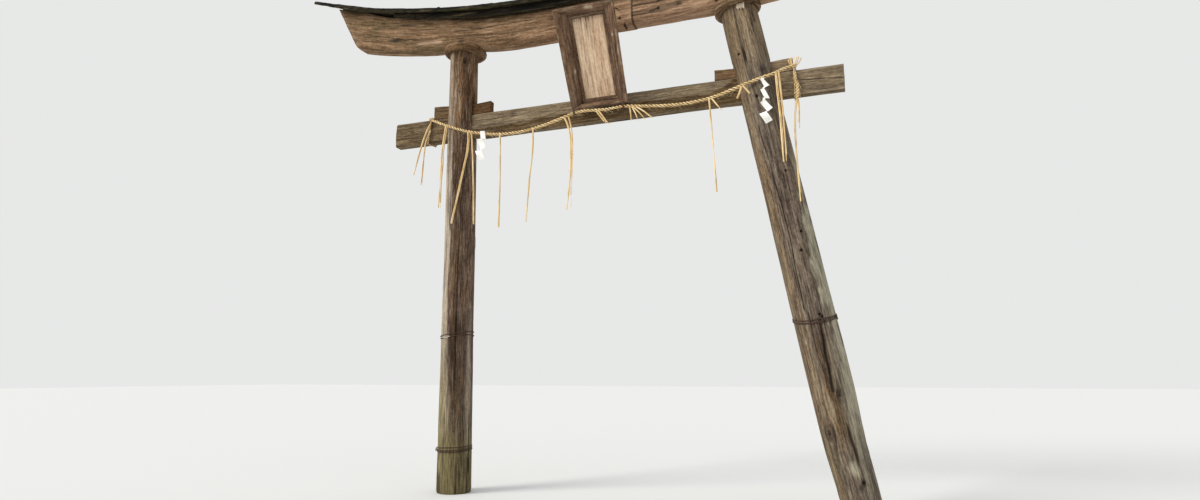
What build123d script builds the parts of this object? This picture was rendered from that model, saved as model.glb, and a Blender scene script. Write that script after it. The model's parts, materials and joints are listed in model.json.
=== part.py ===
from build123d import *
import os
from math import cos, radians, sin, sqrt, tan

# Old wooden torii gate: two round posts, a tie beam wedged through them, and a curved lintel
# under a small board roof. A framed tablet leans out over the passage on two iron hooks, and
# a straw rope with tassels and folded papers hangs across the front.
# Millimetres. The origin is the middle of the left post's foot, +X runs along the gate to
# the right post, -Y is the front and +Z is up. The gate is racked with age: the left post
# leans a little outward and the right one well inward.

# Posts
foot_spacing = 2273.0
left_lean = -0.63  # degrees from upright, positive towards the other post
right_lean = 10.6
left_foot_diameter, left_top_diameter = 202.0, 176.0
right_foot_diameter, right_top_diameter = 222.0, 198.0
foot_bevel = 6.0
post_tenon = 70.0  # side of the square tenon that enters the lintel
post_tenon_length = 55.0

# Collars under the lintel
left_collar_diameter, right_collar_diameter = 272.0, 262.0
collar_height = 57.0
collar_round = 18.0
collar_facets = 3  # the round is hewn in this many flats
collar_seat = 16.0  # spare height that is planed away to fit the lintel's curve
chip_size = (44.0, 11.0, 42.0)  # a split chip driven between the right post and its collar
chip_drop = 15.0
chip_offset = -12.0

# Lintel
lintel_centre = 930.0
lintel_underside = 2765.0
lintel_depth = 176.0  # underside to ridge in the middle
lintel_thickness = 130.0
lintel_half_top = 1949.0
lintel_half_bottom = 1778.0
under_straight, under_radius = 562.0, 4600.0
ridge_straight, ridge_radius = 300.0, 4700.0
lintel_round = 42.0
end_round = 60.0
seam_x = 1160.0
tongue_size = (120.0, 44.0, 70.0)
nail_holes = ((1090.0, 2855.0), (1112.0, 2815.0), (1325.0, 2885.0))
nail_hole_diameter = 9.0
nail_hole_depth = 25.0

# Roof boards on the lintel. The upper ones lie in a flatter curve than the lintel's ridge, and
# the under ones, thick in the middle and thin at their ends, fill the space between.
roof_slope = 12.0
roof_rise = 44.0  # of the upper boards' curve over the ridge line in the middle
roof_straight, roof_radius = 200.0, 6100.0
under_board_reach, under_board_half = 112.0, 1460.0
upper_board_reach, upper_board_thickness = 148.0, 22.0
upper_board_overhang = 147.0
ridge_cap_width, ridge_cap_thickness = 96.0, 22.0
ridge_cap_overhang = 112.0
board_gap = 6.0

# Tie beam and its wedges
beam_height = 2245.0  # centre line above the ground
beam_thickness = 60.0
beam_depth_left, beam_depth_right = 162.0, 145.0
beam_overhang_left, beam_overhang_right = 485.0, 457.0
beam_top_chamfer, beam_bottom_chamfer = 13.0, 4.0
wedge_thickness = 44.0
wedge_out = 104.0
wedge_taper = 14.0
wedge_rises = {"left_outer": 86.0, "left_inner": 74.0, "right_inner": 66.0, "right_outer": 76.0}
fit = 0.2  # clearance round everything housed in a mortise

# Centre strut
strut_width, strut_thickness = 112.0, 56.0

# Tablet
tablet_x = 952.0
tablet_front = 92.0  # front rim ahead of the gate's middle plane, at the tablet's foot
tablet_foot = 2228.0
tablet_lean = 30.0
tablet_width_bottom, tablet_width_top = 354.0, 370.0
tablet_length = 577.0
tablet_depth = 58.0
panel_width, panel_length = 182.0, 450.0
panel_foot = 54.0
panel_rebate = 10.0
bead_width, bead_step, bead_fall = 26.0, 12.0, 8.0
rim_width = 9.0
flare_fall = 24.0

# Ironwork
hook_thickness = 7.0  # forged from square bar
hook_clearance = 0.3  # under the tablet's foot
hook_rope_clearance = 0.9
hook_inset = 24.0
hook_rope_y, hook_rope_z = -112.0, 2203.6  # middle of the rope where it lies in the hooks
hook_tip_z = 2230.0
hook_bend, hook_bite = 6.0, 14.0
stay_diameter = 8.0
stay_spread = 200.0
band_wire = 5.0
left_band_heights = (908.0, 257.0)
right_band_height = 955.0
band_turns = 2
band_sides = 24  # flats that the wire takes as it is beaten down onto the log
band_turn_gap = 0.4

# Straw rope, tied round the tie beam outside both posts
rope_diameter = 16.0
rope_sides, straw_sides = 8, 6  # the section of the rope and its ties, and of one straw
tie_diameter = 12.0
tie_clearance = 0.4  # between a tie and the beam's faces
left_tie_x, right_tie_x = -238.0, 2056.0
rope_points = [
    (-238.0, -37.0, 2318.0), (-172.0, -72.0, 2285.0), (-98.0, -99.0, 2246.0),
    (-16.0, -107.0, 2211.0), (66.0, -105.0, 2182.0), (165.0, -103.0, 2157.0),
    (298.0, -104.0, 2134.0), (424.0, -106.0, 2130.0), (540.0, -108.0, 2142.0),
    (640.0, -110.0, 2162.0), (724.0, -111.0, 2184.0), (797.0, -112.0, 2205.0),
    (858.0, -113.0, 2210.0), (928.0, -113.0, 2203.0), (996.0, -113.0, 2199.0),
    (1058.0, -112.0, 2203.0), (1114.0, -112.0, 2205.0), (1192.0, -111.0, 2194.0),
    (1304.0, -110.0, 2180.0), (1424.0, -110.0, 2172.0), (1546.0, -112.0, 2175.0),
    (1634.0, -115.0, 2188.0), (1716.0, -118.0, 2209.0), (1798.0, -119.0, 2235.0),
    (1882.0, -115.0, 2259.0), (1952.0, -99.0, 2280.0), (2006.0, -70.0, 2296.0),
    (2056.0, -37.0, 2312.0),
]
tail_points = [(2056.0, -39.5, 2290.0), (2058.0, -52.0, 2256.0), (2063.0, -54.0, 2203.0),
               (2066.0, -53.0, 2134.0)]
tuft_height = 62.0
tuft_foot, tuft_top, tuft_thickness = 14.0, 62.0, 14.0
tuft_lean = 12.0
seat = 0.3  # how far hanging straw and paper stand off what carries them

# Straw tassels: what each strand hangs from and where, its points from there down, and its
# diameter. A strand hangs from the rope at an x, from the left tie at a height, or from the
# rope's tail at an offset from its middle.
tassels = {
    "tassel_left_end": [
        ("left_tie", 2292, [(-251, -60, 2250), (-289, -66, 2130), (-332, -67, 1947)], 8.0),
        ("left_tie", 2244, [(-256, -54, 2200), (-267, -62, 2110), (-275, -64, 1876)], 7.0)],
    "tassel_left_post_side": [("rope", -84, [(-91, -115, 2120), (-97, -116, 1900), (-101, -116, 1702)], 15.0)],
    "tassel_left_post_front": [
        ("rope", 82, [(98, -116, 2100), (52, -113, 1900), (-12, -111, 1596)], 10.0),
        ("rope", 104, [(116, -112, 2096), (133, -112, 1850), (144, -112, 1580)], 7.0)],
    "tassel_span_1": [("rope", 308, [(316, -107, 1917), (311, -106, 1551)], 8.0)],
    "tassel_span_2": [("rope", 526, [(535, -110, 2012), (508, -110, 1823), (494, -109, 1568)], 7.0)],
    "tassel_span_3": [
        ("rope", 736, [(773, -114, 2112), (781, -115, 1970), (778, -115, 1809), (757, -114, 1623)], 8.0),
        ("rope", 762, [(792, -115, 2104), (799, -115, 1900), (790, -115, 1640)], 6.0)],
    "tassel_tablet": [("rope", 956, [(983, -115, 2147), (1016, -115, 2106)], 6.0),
                      ("rope", 938, [(962, -119, 2158), (999, -122, 2112)], 6.0)],
    "tassel_right_hook": [("rope", 1140, [(1149, -113, 2150), (1148, -113, 2110)], 6.0),
                          ("rope", 1152, [(1180, -113, 2150), (1192, -113, 2108)], 6.0),
                          ("rope", 1164, [(1206, -113, 2150), (1232, -113, 2110)], 6.0),
                          ("rope", 1178, [(1236, -113, 2152), (1274, -113, 2112)], 6.0)],
    "tassel_span_4": [("rope", 1600, [(1612, -114, 2028), (1630, -114, 1649)], 8.0),
                      ("rope", 1614, [(1642, -116, 2138), (1671, -116, 2101)], 6.0)],
    "tassel_right_post_edge": [("rope", 1780, [(1771, -121, 2190), (1755, -121, 2158)], 7.0),
                               ("rope", 1790, [(1806, -121, 2202), (1824, -121, 2176)], 7.0)],
    "tassel_right_post_front": [
        ("rope", 1962, [(1974, -112, 2120), (1981, -114, 1960), (1986, -114, 1779)], 9.0),
        ("rope", 1976, [(1989, -110, 2150), (1995, -112, 1990), (2001, -113, 1784)], 8.0)],
    "tassel_rope_end": [
        ("tail", -3.5, [(2052, -57, 2080), (2046, -62, 1932), (2051, -72, 1745), (2060, -80, 1567)], 8.0),
        ("tail", 4.0, [(2075, -54, 2060), (2067, -54, 1973)], 6.0)],
}

# Folded papers: where on the rope each hangs, and the middle of each leaf in X and Z
paper_thickness = 1.0
paper_width, paper_lap, paper_shear = 50.0, 7.0, 12.0
paper_stem = 16.0
papers = {
    "paper_left": (170.0, [(174.0, 2098.0), (164.0, 2028.0)]),
    "paper_right": (1892.0, [(1899.0, 2214.0), (1906.0, 2151.0), (1896.0, 2087.0), (1906.0, 2021.0)]),
}


def post_x(side, z):
    """Where a post's axis stands at height z."""
    if side == "left":
        return z * tan(radians(left_lean))
    return foot_spacing - z * tan(radians(right_lean))


def underside(x):
    """Height of the lintel's underside at x."""
    past = max(0.0, abs(x - lintel_centre) - under_straight)
    return lintel_underside + under_radius - sqrt(under_radius**2 - past**2)


def ridge(x):
    """Height of the lintel's ridge line at x."""
    past = max(0.0, abs(x - lintel_centre) - ridge_straight)
    return lintel_underside + lintel_depth + ridge_radius - sqrt(ridge_radius**2 - past**2)


def roof_line(x):
    """Height of the curve that the upper roof boards lie on at x."""
    past = max(0.0, abs(x - lintel_centre) - roof_straight)
    return lintel_underside + lintel_depth + roof_rise + roof_radius - sqrt(roof_radius**2 - past**2)


def upright_arc(x_from, x_to, height):
    """The arc of a curved edge between two x, where height(x) gives its z."""
    middle = (x_from + x_to) / 2
    return ThreePointArc(*[(x, height(x)) for x in (x_from, middle, x_to)])


def slab(low, high):
    """A wide block between two heights, to trim with."""
    return Pos(lintel_centre, 0, (low + high) / 2) * Box(9000, 2000, high - low)


def block(x_from, x_to):
    """A tall block between two x, to trim with."""
    return Pos((x_from + x_to) / 2, 0, 0) * Box(x_to - x_from, 2000, 12000)


def tube(points, diameter, sides, label=""):
    """A many-sided tube along points, each corner an arc as large as its two runs allow."""
    corners = [Vector(*p) for p in points]
    radii = []
    for before, here, after in zip(corners, corners[1:], corners[2:]):
        a, b = here - before, after - here
        half_turn = radians(a.get_angle(b)) / 2
        radii.append(0.45 * min(a.length, b.length) / tan(half_turn))
    if label:
        print(label, "radii", [round(r) for r in radii])
    path = FilletPolyline(*corners, radius=radii) if radii else Line(*corners)
    start = Plane(origin=path @ 0, z_dir=path % 0)
    return sweep(start * RegularPolygon(diameter / 2, sides), path)


def post_cone(side, extra=0.0):
    """The tapered log of one post on its leaning axis, longer than the post at both ends."""
    lean = radians(left_lean if side == "left" else -right_lean)
    foot = left_foot_diameter if side == "left" else right_foot_diameter
    top = left_top_diameter if side == "left" else right_top_diameter
    height = (lintel_underside + 200) / cos(lean)
    spare = 120.0
    slope = (top - foot) / 2 / height
    cone = Cone(foot / 2 - slope * spare + extra, top / 2 + extra, height + spare,
                align=(Align.CENTER, Align.CENTER, Align.MIN))
    return Pos(post_x(side, 0), 0, 0) * Rot(0, left_lean if side == "left" else -right_lean, 0) \
        * Pos(0, 0, -spare) * cone


def post_top(side):
    """Height of the lintel's underside over a post's axis."""
    z = lintel_underside
    for _ in range(4):
        z = underside(post_x(side, z))
    return z


def post_tenon_block(side, extra=0.0):
    """The square tenon on a post's top."""
    z = post_top(side)
    size = post_tenon + 2 * extra
    length = post_tenon_length + extra
    return Pos(post_x(side, z), 0, z - 20) * Box(size, size, length + 20,
                                                 align=(Align.CENTER, Align.CENTER, Align.MIN))


def above_underside():
    """Everything over the curve of the lintel's underside, to trim what carries it."""
    left, right = lintel_centre - lintel_half_bottom, lintel_centre + lintel_half_bottom
    a, b = lintel_centre - under_straight, lintel_centre + under_straight
    high = underside(left) + lintel_depth
    outline = Wire([upright_arc(left, a, underside), Line((a, underside(a)), (b, underside(b))),
                    upright_arc(b, right, underside), Line((right, underside(right)), (right, high)),
                    Line((right, high), (left, high)), Line((left, high), (left, underside(left)))])
    return extrude(Plane.XZ * make_face(outline), amount=lintel_thickness * 2, both=True)


def make_post(side, cutters):
    body = post_cone(side) & slab(0, lintel_underside + lintel_depth)
    body = largest(body - above_underside())
    body = chamfer(body.faces().sort_by(Axis.Z)[0].edges(), foot_bevel)
    body += post_tenon_block(side)
    for cutter in cutters:
        body -= cutter
    return body


def make_collar(side):
    """A round collar let over the post's head, its lower edge rounded and its top under the lintel."""
    radius = (left_collar_diameter if side == "left" else right_collar_diameter) / 2
    top = collar_height / 2
    low = -collar_height / 2
    profile = [(0, low)]
    for k in range(collar_facets + 1):
        turn = radians(90 * k / collar_facets)
        profile.append((radius - collar_round * (1 - sin(turn)), low + collar_round * (1 - cos(turn))))
    profile += [(radius, top + collar_seat), (0, top + collar_seat)]
    disc = revolve(Plane.XZ * make_face(Polyline(*profile, close=True)), Axis.Z)
    disc = Pos(post_x(side, post_top(side)), 0, post_top(side) - top) * disc
    return largest(disc - above_underside() - post_cone(side, fit))


def along(outline, overhang, height, straight):
    """Sweep an outline of (y, height over the line) points along a curved line of the roof."""
    reach = lintel_half_top + overhang
    left, right = lintel_centre - reach, lintel_centre + reach
    a, b = lintel_centre - straight, lintel_centre + straight
    edges = [upright_arc(left, a, height), Line((a, height(a)), (b, height(b))), upright_arc(b, right, height)]
    path = Plane.XZ * Wire(edges)
    start = Plane(origin=path @ 0, x_dir=(0, 1, 0), z_dir=path % 0)
    return sweep(start * make_face(Polyline(*outline, close=True)), path)


def along_ridge(outline, overhang):
    """Sweep an outline along the lintel's ridge line, run on past its ends."""
    return along(outline, overhang, ridge, ridge_straight)


def along_roof(outline, overhang):
    """Sweep an outline along the upper roof boards, which overhang the lintel's ends."""
    return along(outline, overhang, roof_line, roof_straight)


def beside_ridge(height):
    """Everything above or below the two slopes that the lintel is planed to, up to a height."""
    wide = lintel_thickness
    fall = wide * tan(radians(roof_slope))
    return along_ridge([(0, 0), (-wide, -fall), (-wide, height), (wide, height), (wide, -fall)], 40)


def make_under_board(sign):
    """A roof board that fills the space between a slope of the lintel and the upper board."""
    rise = tan(radians(roof_slope))
    a, b = sign * board_gap / 2, sign * under_board_reach
    top_a, top_b, deep = -abs(a) * rise, -abs(b) * rise, roof_rise + 60
    body = along_roof([(a, top_a), (b, top_b), (b, top_b - deep), (a, top_a - deep)], 0)
    body = body & block(lintel_centre - under_board_half, lintel_centre + under_board_half)
    return largest(body - beside_ridge(-400))


def make_lintel():
    """The whole curved lintel, before it is cut into its two lengths."""
    lt, rt = lintel_centre - lintel_half_top, lintel_centre + lintel_half_top
    lb, rb = lintel_centre - lintel_half_bottom, lintel_centre + lintel_half_bottom
    ua, ub = lintel_centre - under_straight, lintel_centre + under_straight
    ra, rc = lintel_centre - ridge_straight, lintel_centre + ridge_straight
    outline = Wire([
        upright_arc(lb, ua, underside), Line((ua, underside(ua)), (ub, underside(ub))),
        upright_arc(ub, rb, underside), Line((rb, underside(rb)), (rt, ridge(rt))),
        upright_arc(rt, rc, ridge), Line((rc, ridge(rc)), (ra, ridge(ra))),
        upright_arc(ra, lt, ridge), Line((lt, ridge(lt)), (lb, underside(lb)))])
    face = Plane.XZ * make_face(outline)
    body = extrude(face, amount=lintel_thickness / 2, both=True)
    lower_corners = body.edges().filter_by(Axis.Y).sort_by(Axis.Z)
    lower_corners = [e for e in lower_corners if abs(e.center().X - lb) < 1 or abs(e.center().X - rb) < 1]
    body = fillet(lower_corners, end_round)
    return body


def round_underside(body):
    """Round the two long lower edges of the lintel as hewn from a log."""
    half = lintel_thickness / 2

    def is_lower(e):
        c = e.center()
        return abs(abs(c.Y) - half) < 0.5 and c.Z < underside(c.X) + 25 and e.length > 150
    edges = [e for e in body.edges() if is_lower(e)]
    return fillet(edges, lintel_round)


def tongue(extra=0.0):
    length, thickness, depth = tongue_size
    z = lintel_underside + lintel_depth / 2
    return Pos(seam_x - 40, 0, z) * Box(length + 40 + extra, thickness + 2 * extra, depth + 2 * extra,
                                        align=(Align.MIN, Align.CENTER, Align.CENTER))


def beam_end(side):
    if side == "left":
        return post_x("left", beam_height) - beam_overhang_left
    return post_x("right", beam_height) + beam_overhang_right


def beam_depth(x):
    """Depth of the tie beam at x: it narrows from the left end to the right."""
    a, b = beam_end("left"), beam_end("right")
    return beam_depth_left + (beam_depth_right - beam_depth_left) * (x - a) / (b - a)


def make_beam(extra=0.0):
    a, b = beam_end("left"), beam_end("right")
    if extra:
        a, b = a - 50, b + 50
    corners = []
    for x, sign in ((a, -1), (b, -1), (b, 1), (a, 1)):
        corners.append((x, beam_height + sign * (beam_depth(x) / 2 + extra)))
    face = Plane.XZ * make_face(Polyline(*corners, close=True))
    body = extrude(face, amount=beam_thickness / 2 + extra, both=True)
    upper = [e for e in body.edges() if e.length > 1000 and e.center().Z > beam_height]
    body = chamfer(upper, beam_top_chamfer)
    lower = [e for e in body.edges() if e.length > 1000 and e.center().Z < beam_height]
    return chamfer(lower, beam_bottom_chamfer)


def make_wedge(name, beam, extra=0.0):
    """A wedge driven over the tie beam from one side of a post, thick end outside."""
    side, place = name.split("_")
    towards = -1 if (side == "left") == (place == "outer") else 1
    top = beam_height + beam_depth(post_x(side, beam_height)) / 2
    axis = post_x(side, top)
    radius = (left_top_diameter if side == "left" else right_top_diameter) / 2 + 6
    tip, out = axis + towards * 2, axis + towards * (radius + wedge_out)
    rise = wedge_rises[name]
    outline = [(tip, top - 20), (out, top - 20), (out, top + rise + extra), (tip, top + rise - wedge_taper + extra)]
    face = Plane.XZ * make_face(Polyline(*outline, close=True))
    body = extrude(face, amount=wedge_thickness / 2 + extra, both=True)
    return body if extra else body - beam


def make_strut():
    """The strut behind the tablet, longer than the space that it fills."""
    low, high = beam_height, lintel_underside + 20
    return Pos(tablet_x, 0, (low + high) / 2) * Box(strut_width, strut_thickness, high - low)


def tablet_plane():
    lean = radians(tablet_lean)
    return Plane(origin=(tablet_x, -tablet_front, tablet_foot), x_dir=(1, 0, 0),
                 z_dir=(0, -cos(lean), -sin(lean)))


def tablet_outline(inset=0.0):
    """Corners of the tablet's outer shape, wider at the top, drawn in by an inset."""
    b, t = tablet_width_bottom / 2 - inset, tablet_width_top / 2 - inset
    return [(-b, inset), (b, inset), (t, tablet_length - inset), (-t, tablet_length - inset)]


def panel_outline(grow=0.0):
    """Corners of the opening that shows the panel, grown outward."""
    w = panel_width / 2 + grow
    return [(-w, panel_foot - grow), (w, panel_foot - grow),
            (w, panel_foot + panel_length + grow), (-w, panel_foot + panel_length + grow)]


def at_depth(outline, depth):
    """A face on the tablet, some depth behind its front rim."""
    return tablet_plane().offset(-depth) * make_face(Polyline(*outline, close=True))


def tablet_frame():
    """The flared frame in one piece, before it is cut at the mitres."""
    back = panel_outline(bead_width + 14)
    bead_top = flare_fall + bead_step
    body = loft([at_depth(tablet_outline(), 0), at_depth(back, tablet_depth)])
    body -= loft([at_depth(tablet_outline(rim_width), 0), at_depth(panel_outline(bead_width), flare_fall)])
    body -= loft([at_depth(panel_outline(bead_width), flare_fall - 0.01),
                  at_depth(panel_outline(bead_width - 2), bead_top)])
    body -= loft([at_depth(panel_outline(bead_width - 2), bead_top - 0.01),
                  at_depth(panel_outline(), bead_top + bead_fall)])
    body -= loft([at_depth(panel_outline(), bead_top + bead_fall - 0.01), at_depth(panel_outline(), tablet_depth + 5)])
    body -= panel_blank(fit)
    return body


def panel_blank(extra=0.0):
    """The panel, let into the back of the frame."""
    front = flare_fall + bead_step + bead_fall
    outline = panel_outline(panel_rebate + extra)
    face = at_depth(outline, tablet_depth + (5 if extra else 0))
    return extrude(face, amount=tablet_depth - front + (5 if extra else 0) - (0 if extra else fit))


def frame_boards():
    """The four boards of the tablet's frame, mitred where they meet."""
    frame = tablet_frame()
    inner = panel_outline()
    outer = [(2.2 * o[0] - 1.2 * i[0], 2.2 * o[1] - 1.2 * i[1]) for o, i in zip(tablet_outline(), inner)]
    boards = {}
    for name, a, b in (("bottom", 0, 1), ("right", 1, 2), ("top", 2, 3), ("left", 3, 0)):
        sector = at_depth([inner[a], outer[a], outer[b], inner[b]], tablet_depth + 20)
        boards["tablet_frame_" + name] = extrude(sector, amount=tablet_depth + 40) & frame
    return boards


def hook_x(side):
    sign = -1 if side == "left" else 1
    return tablet_x + sign * (tablet_width_bottom / 2 - hook_inset)


def make_hook(side, extra=0.0):
    """An iron hook from the tie beam: the tablet's foot rests on it and the rope lies in it."""
    lean = radians(tablet_lean)
    gap = hook_thickness / 2 + hook_clearance
    under_y, under_z = -tablet_front + gap * sin(lean), tablet_foot - gap * cos(lean)
    crook = rope_diameter / 2 + hook_thickness / 2 + hook_rope_clearance
    inside, outside = hook_rope_y + crook, hook_rope_y - crook
    back_y = -beam_thickness / 2 + hook_bite
    slope = tan(lean)
    x = hook_x(side)
    shank = FilletPolyline((x, back_y, under_z + (back_y - under_y) * slope),
                           (x, inside, under_z + (inside - under_y) * slope),
                           (x, inside, hook_rope_z), radius=hook_bend)
    turn = ThreePointArc((x, inside, hook_rope_z), (x, hook_rope_y, hook_rope_z - crook),
                         (x, outside, hook_rope_z))
    tip = Line((x, outside, hook_rope_z), (x, outside, hook_tip_z))
    path = Wire(shank.edges() + turn.edges() + tip.edges())
    start = Plane(origin=path @ 0, x_dir=(1, 0, 0), z_dir=path % 0)
    return sweep(start * Rectangle(hook_thickness + 2 * extra, hook_thickness + 2 * extra), path)


def make_stay(side, extra=0.0):
    """An iron stay from the lintel's face to the back of the tablet's head."""
    sign = -1 if side == "left" else 1
    x = tablet_x + sign * stay_spread / 2
    head = tablet_plane().offset(-tablet_depth + 12).from_local_coords(Vector(0, tablet_length - 30, 0))
    a = Vector(x, -lintel_thickness / 2 + 25, lintel_underside + 95)
    b = Vector(x, head.Y, head.Z)
    way = (b - a).normalized()
    return Plane(origin=a, z_dir=way) * Cylinder(stay_diameter / 2 + extra, (b - a).length + extra,
                                                 align=(Align.CENTER, Align.CENTER, Align.MIN))


def make_band(side, height):
    """Turns of square iron wire drawn tight round a post, square to its axis."""
    lean = left_lean if side == "left" else -right_lean
    foot = left_foot_diameter if side == "left" else right_foot_diameter
    top = left_top_diameter if side == "left" else right_top_diameter
    along = height / cos(radians(lean))
    whole = (lintel_underside + 200) / cos(radians(lean))
    slope = (foot - top) / 2 / whole
    turns = []
    for k in range(band_turns):
        up = along + (k - (band_turns - 1) / 2) * (band_wire + band_turn_gap)
        inner = foot / 2 - slope * up + fit
        ring = RegularPolygon(inner + band_wire, band_sides, major_radius=False) \
            - RegularPolygon(inner, band_sides, major_radius=False)
        turn = extrude(ring, amount=band_wire / 2, both=True)
        turns.append(Pos(post_x(side, 0), 0, 0) * Rot(0, lean, 0) * Pos(0, 0, up) * turn)
    return turns


def make_tie(x, extra=0.0):
    """A loop of straw rope round the tie beam."""
    clear = tie_diameter / 2 + tie_clearance
    y = beam_thickness / 2 + clear
    z = beam_depth(x) / 2 + clear
    path = Plane(origin=(x, 0, beam_height), x_dir=(0, 1, 0), z_dir=(1, 0, 0)) \
        * Wire(RectangleRounded(2 * y, 2 * z, clear + 0.6).edges())
    start = Plane(origin=path @ 0, z_dir=path % 0)
    return sweep(start * RegularPolygon(tie_diameter / 2 + extra, rope_sides), path)


def carrier(kind, where):
    """The point on the middle line of the rope, tie or tail that a strand hangs from."""
    if kind == "left_tie":
        return (left_tie_x, -beam_thickness / 2 - tie_diameter / 2 - tie_clearance, where)
    if kind == "tail":
        x, y, z = tail_points[-1]
        return (x + where, y, z + 4)
    for (x0, y0, z0), (x1, y1, z1) in zip(rope_points, rope_points[1:]):
        if where <= x1:
            t = (where - x0) / (x1 - x0)
            return (where, y0 + t * (y1 - y0), z0 + t * (z1 - z0))


def largest(shape):
    return max(shape.solids(), key=lambda solid: solid.volume)


def make_strand(kind, where, points, diameter, voids):
    """One hanging straw, its head shaped to what carries it."""
    return largest(tube([carrier(kind, where)] + points, diameter, straw_sides) - voids[kind])


def make_tuft():
    """The flat brush of straw ends that stands up from the right-hand tie."""
    clear = tie_diameter / 2 + tie_clearance
    foot_z = beam_height + beam_depth(right_tie_x) / 2 + clear + tie_diameter / 2 + seat
    foot, top = tuft_foot / 2, tuft_top / 2
    x = right_tie_x + tuft_lean
    outline = [(right_tie_x - foot, foot_z), (right_tie_x + foot, foot_z),
               (x + top, foot_z + 0.8 * tuft_height), (x, foot_z + tuft_height), (x - top, foot_z + 0.9 * tuft_height)]
    fan = extrude(Plane.XZ * make_face(Polyline(*outline, close=True)), amount=tuft_thickness / 2, both=True)
    return Pos(0, -beam_thickness / 2 - 2, 0) * fan


def make_paper(where, leaves, void):
    """One zigzag of folded paper, each leaf a sheared sheet that laps the next."""
    _, y, z = carrier("rope", where)
    first = leaves[0]
    pitch = first[1] - leaves[1][1]
    plane = Plane.XZ.offset(-y - paper_thickness / 2)
    stem_foot = first[1] + pitch / 2 - paper_lap
    whole = Pos(where, y, (z + stem_foot) / 2) * Box(paper_stem, paper_thickness, z - stem_foot)
    w, h, s = paper_width / 2, (pitch + paper_lap) / 2, paper_shear / 2
    for x, middle in leaves:
        corners = [(x - w, middle - h - s), (x + w, middle - h + s), (x + w, middle + h + s), (x - w, middle + h - s)]
        leaf = make_face(Polyline(*corners, close=True))
        whole += extrude(plane * leaf, amount=paper_thickness)
    return largest(whole - void)


def make_chip(extra=0.0):
    """A split chip of wood that packs the right post tight in its collar."""
    foot = post_top("right") - collar_height - chip_drop
    width, thick, tall = chip_size
    z = foot + tall / 2
    radius = right_top_diameter / 2 + 3
    y = -sqrt(radius**2 - chip_offset**2)
    return Pos(post_x("right", z) + chip_offset, y, z) * Box(width + 2 * extra, thick + 2 * extra, tall + 2 * extra)


def build():
    lintel = round_underside(make_lintel() - beside_ridge(400))
    beam = make_beam()
    beam_void = make_beam(fit)
    wedges = {name: make_wedge(name, beam) for name in wedge_rises}
    nodes = {}

    for side in ("left", "right"):
        voids = [beam_void] + [make_wedge(n, beam, fit) for n in wedge_rises if n.startswith(side)]
        nodes[side + "_post"] = make_post(side, voids)
        nodes[side + "_collar"] = make_collar(side)
        lintel -= post_tenon_block(side, fit)
    nodes["collar_chip"] = make_chip()
    nodes["right_post"] -= make_chip(fit)
    nodes["right_collar"] -= make_chip(fit)

    for x, z in nail_holes:
        hole = Cylinder(nail_hole_diameter / 2, nail_hole_depth)
        lintel -= Pos(x, -lintel_thickness / 2, z) * Rot(90, 0, 0) * hole
    for side in ("left", "right"):
        nodes["tablet_stay_" + side] = make_stay(side)
        lintel -= make_stay(side, 0.1)
        nodes["tablet_hook_" + side] = make_hook(side)
        beam -= make_hook(side, 0.1)

    nodes["centre_strut"] = largest(make_strut() - lintel - beam)
    nodes["tie_beam"] = beam
    nodes["lintel_left"] = (lintel & block(-3000, seam_x)) + (tongue() & block(seam_x - 10, 5000))
    nodes["lintel_right"] = (lintel & block(seam_x, 6000)) - tongue(fit)

    rise = tan(radians(roof_slope))
    for name, sign in (("front", -1), ("back", 1)):
        nodes["roof_under_board_" + name] = make_under_board(sign)
        a, b, t = board_gap / 2, upper_board_reach, upper_board_thickness
        outline = [(sign * a, -a * rise), (sign * b, -b * rise), (sign * b, t - b * rise), (sign * a, t - a * rise)]
        nodes["roof_upper_board_" + name] = along_roof(outline, upper_board_overhang)
    half, t0 = ridge_cap_width / 2, upper_board_thickness
    outline = [(0, t0), (half, t0 - half * rise), (half, t0 + ridge_cap_thickness * 0.4),
               (half * 0.5, t0 + ridge_cap_thickness), (-half * 0.5, t0 + ridge_cap_thickness),
               (-half, t0 + ridge_cap_thickness * 0.4), (-half, t0 - half * rise)]
    nodes["ridge_cap"] = along_roof(outline, ridge_cap_overhang)

    for name, wedge in wedges.items():
        nodes["wedge_" + name] = wedge

    boards = frame_boards()
    for side in ("left", "right"):
        boards["tablet_frame_top"] = boards["tablet_frame_top"] - make_stay(side, 0.1)
    nodes.update(boards)
    nodes["tablet_panel"] = panel_blank()

    for number, height in enumerate(left_band_heights, start=1):
        nodes["left_post_band_%d" % number] = make_band("left", height)
    nodes["right_post_band"] = make_band("right", right_band_height)

    left_void, right_void = make_tie(left_tie_x, seat), make_tie(right_tie_x, seat)
    nodes["rope_tie_left"] = make_tie(left_tie_x)
    nodes["rope_tie_right"] = make_tie(right_tie_x)
    rope_void = tube(rope_points, rope_diameter + 2 * seat, rope_sides)
    rope = tube(rope_points, rope_diameter, rope_sides, "rope")
    nodes["rope"] = largest(largest(rope - left_void) - right_void)
    tail = tube(tail_points, rope_diameter, rope_sides, "rope_tail")
    nodes["rope_tail"] = largest(tail - right_void - rope_void)
    nodes["rope_tuft"] = make_tuft()
    voids = {"rope": rope_void, "left_tie": left_void, "tail": nodes["rope_tail"]}
    for name, strands in tassels.items():
        nodes[name] = [make_strand(*strand, voids) for strand in strands]
    for name, (where, leaves) in papers.items():
        nodes[name] = make_paper(where, leaves, rope_void)
    return nodes


os.makedirs("parts", exist_ok=True)
for node, shape in build().items():
    solids = shape if isinstance(shape, list) else [shape]
    solids = [s for item in solids for s in item.solids()]
    export_step(Compound(children=solids) if len(solids) > 1 else solids[0], "parts/%s.step" % node)
    print(node, len(solids), round(sum(s.volume for s in solids) / 1000))
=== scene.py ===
import json
import math

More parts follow.
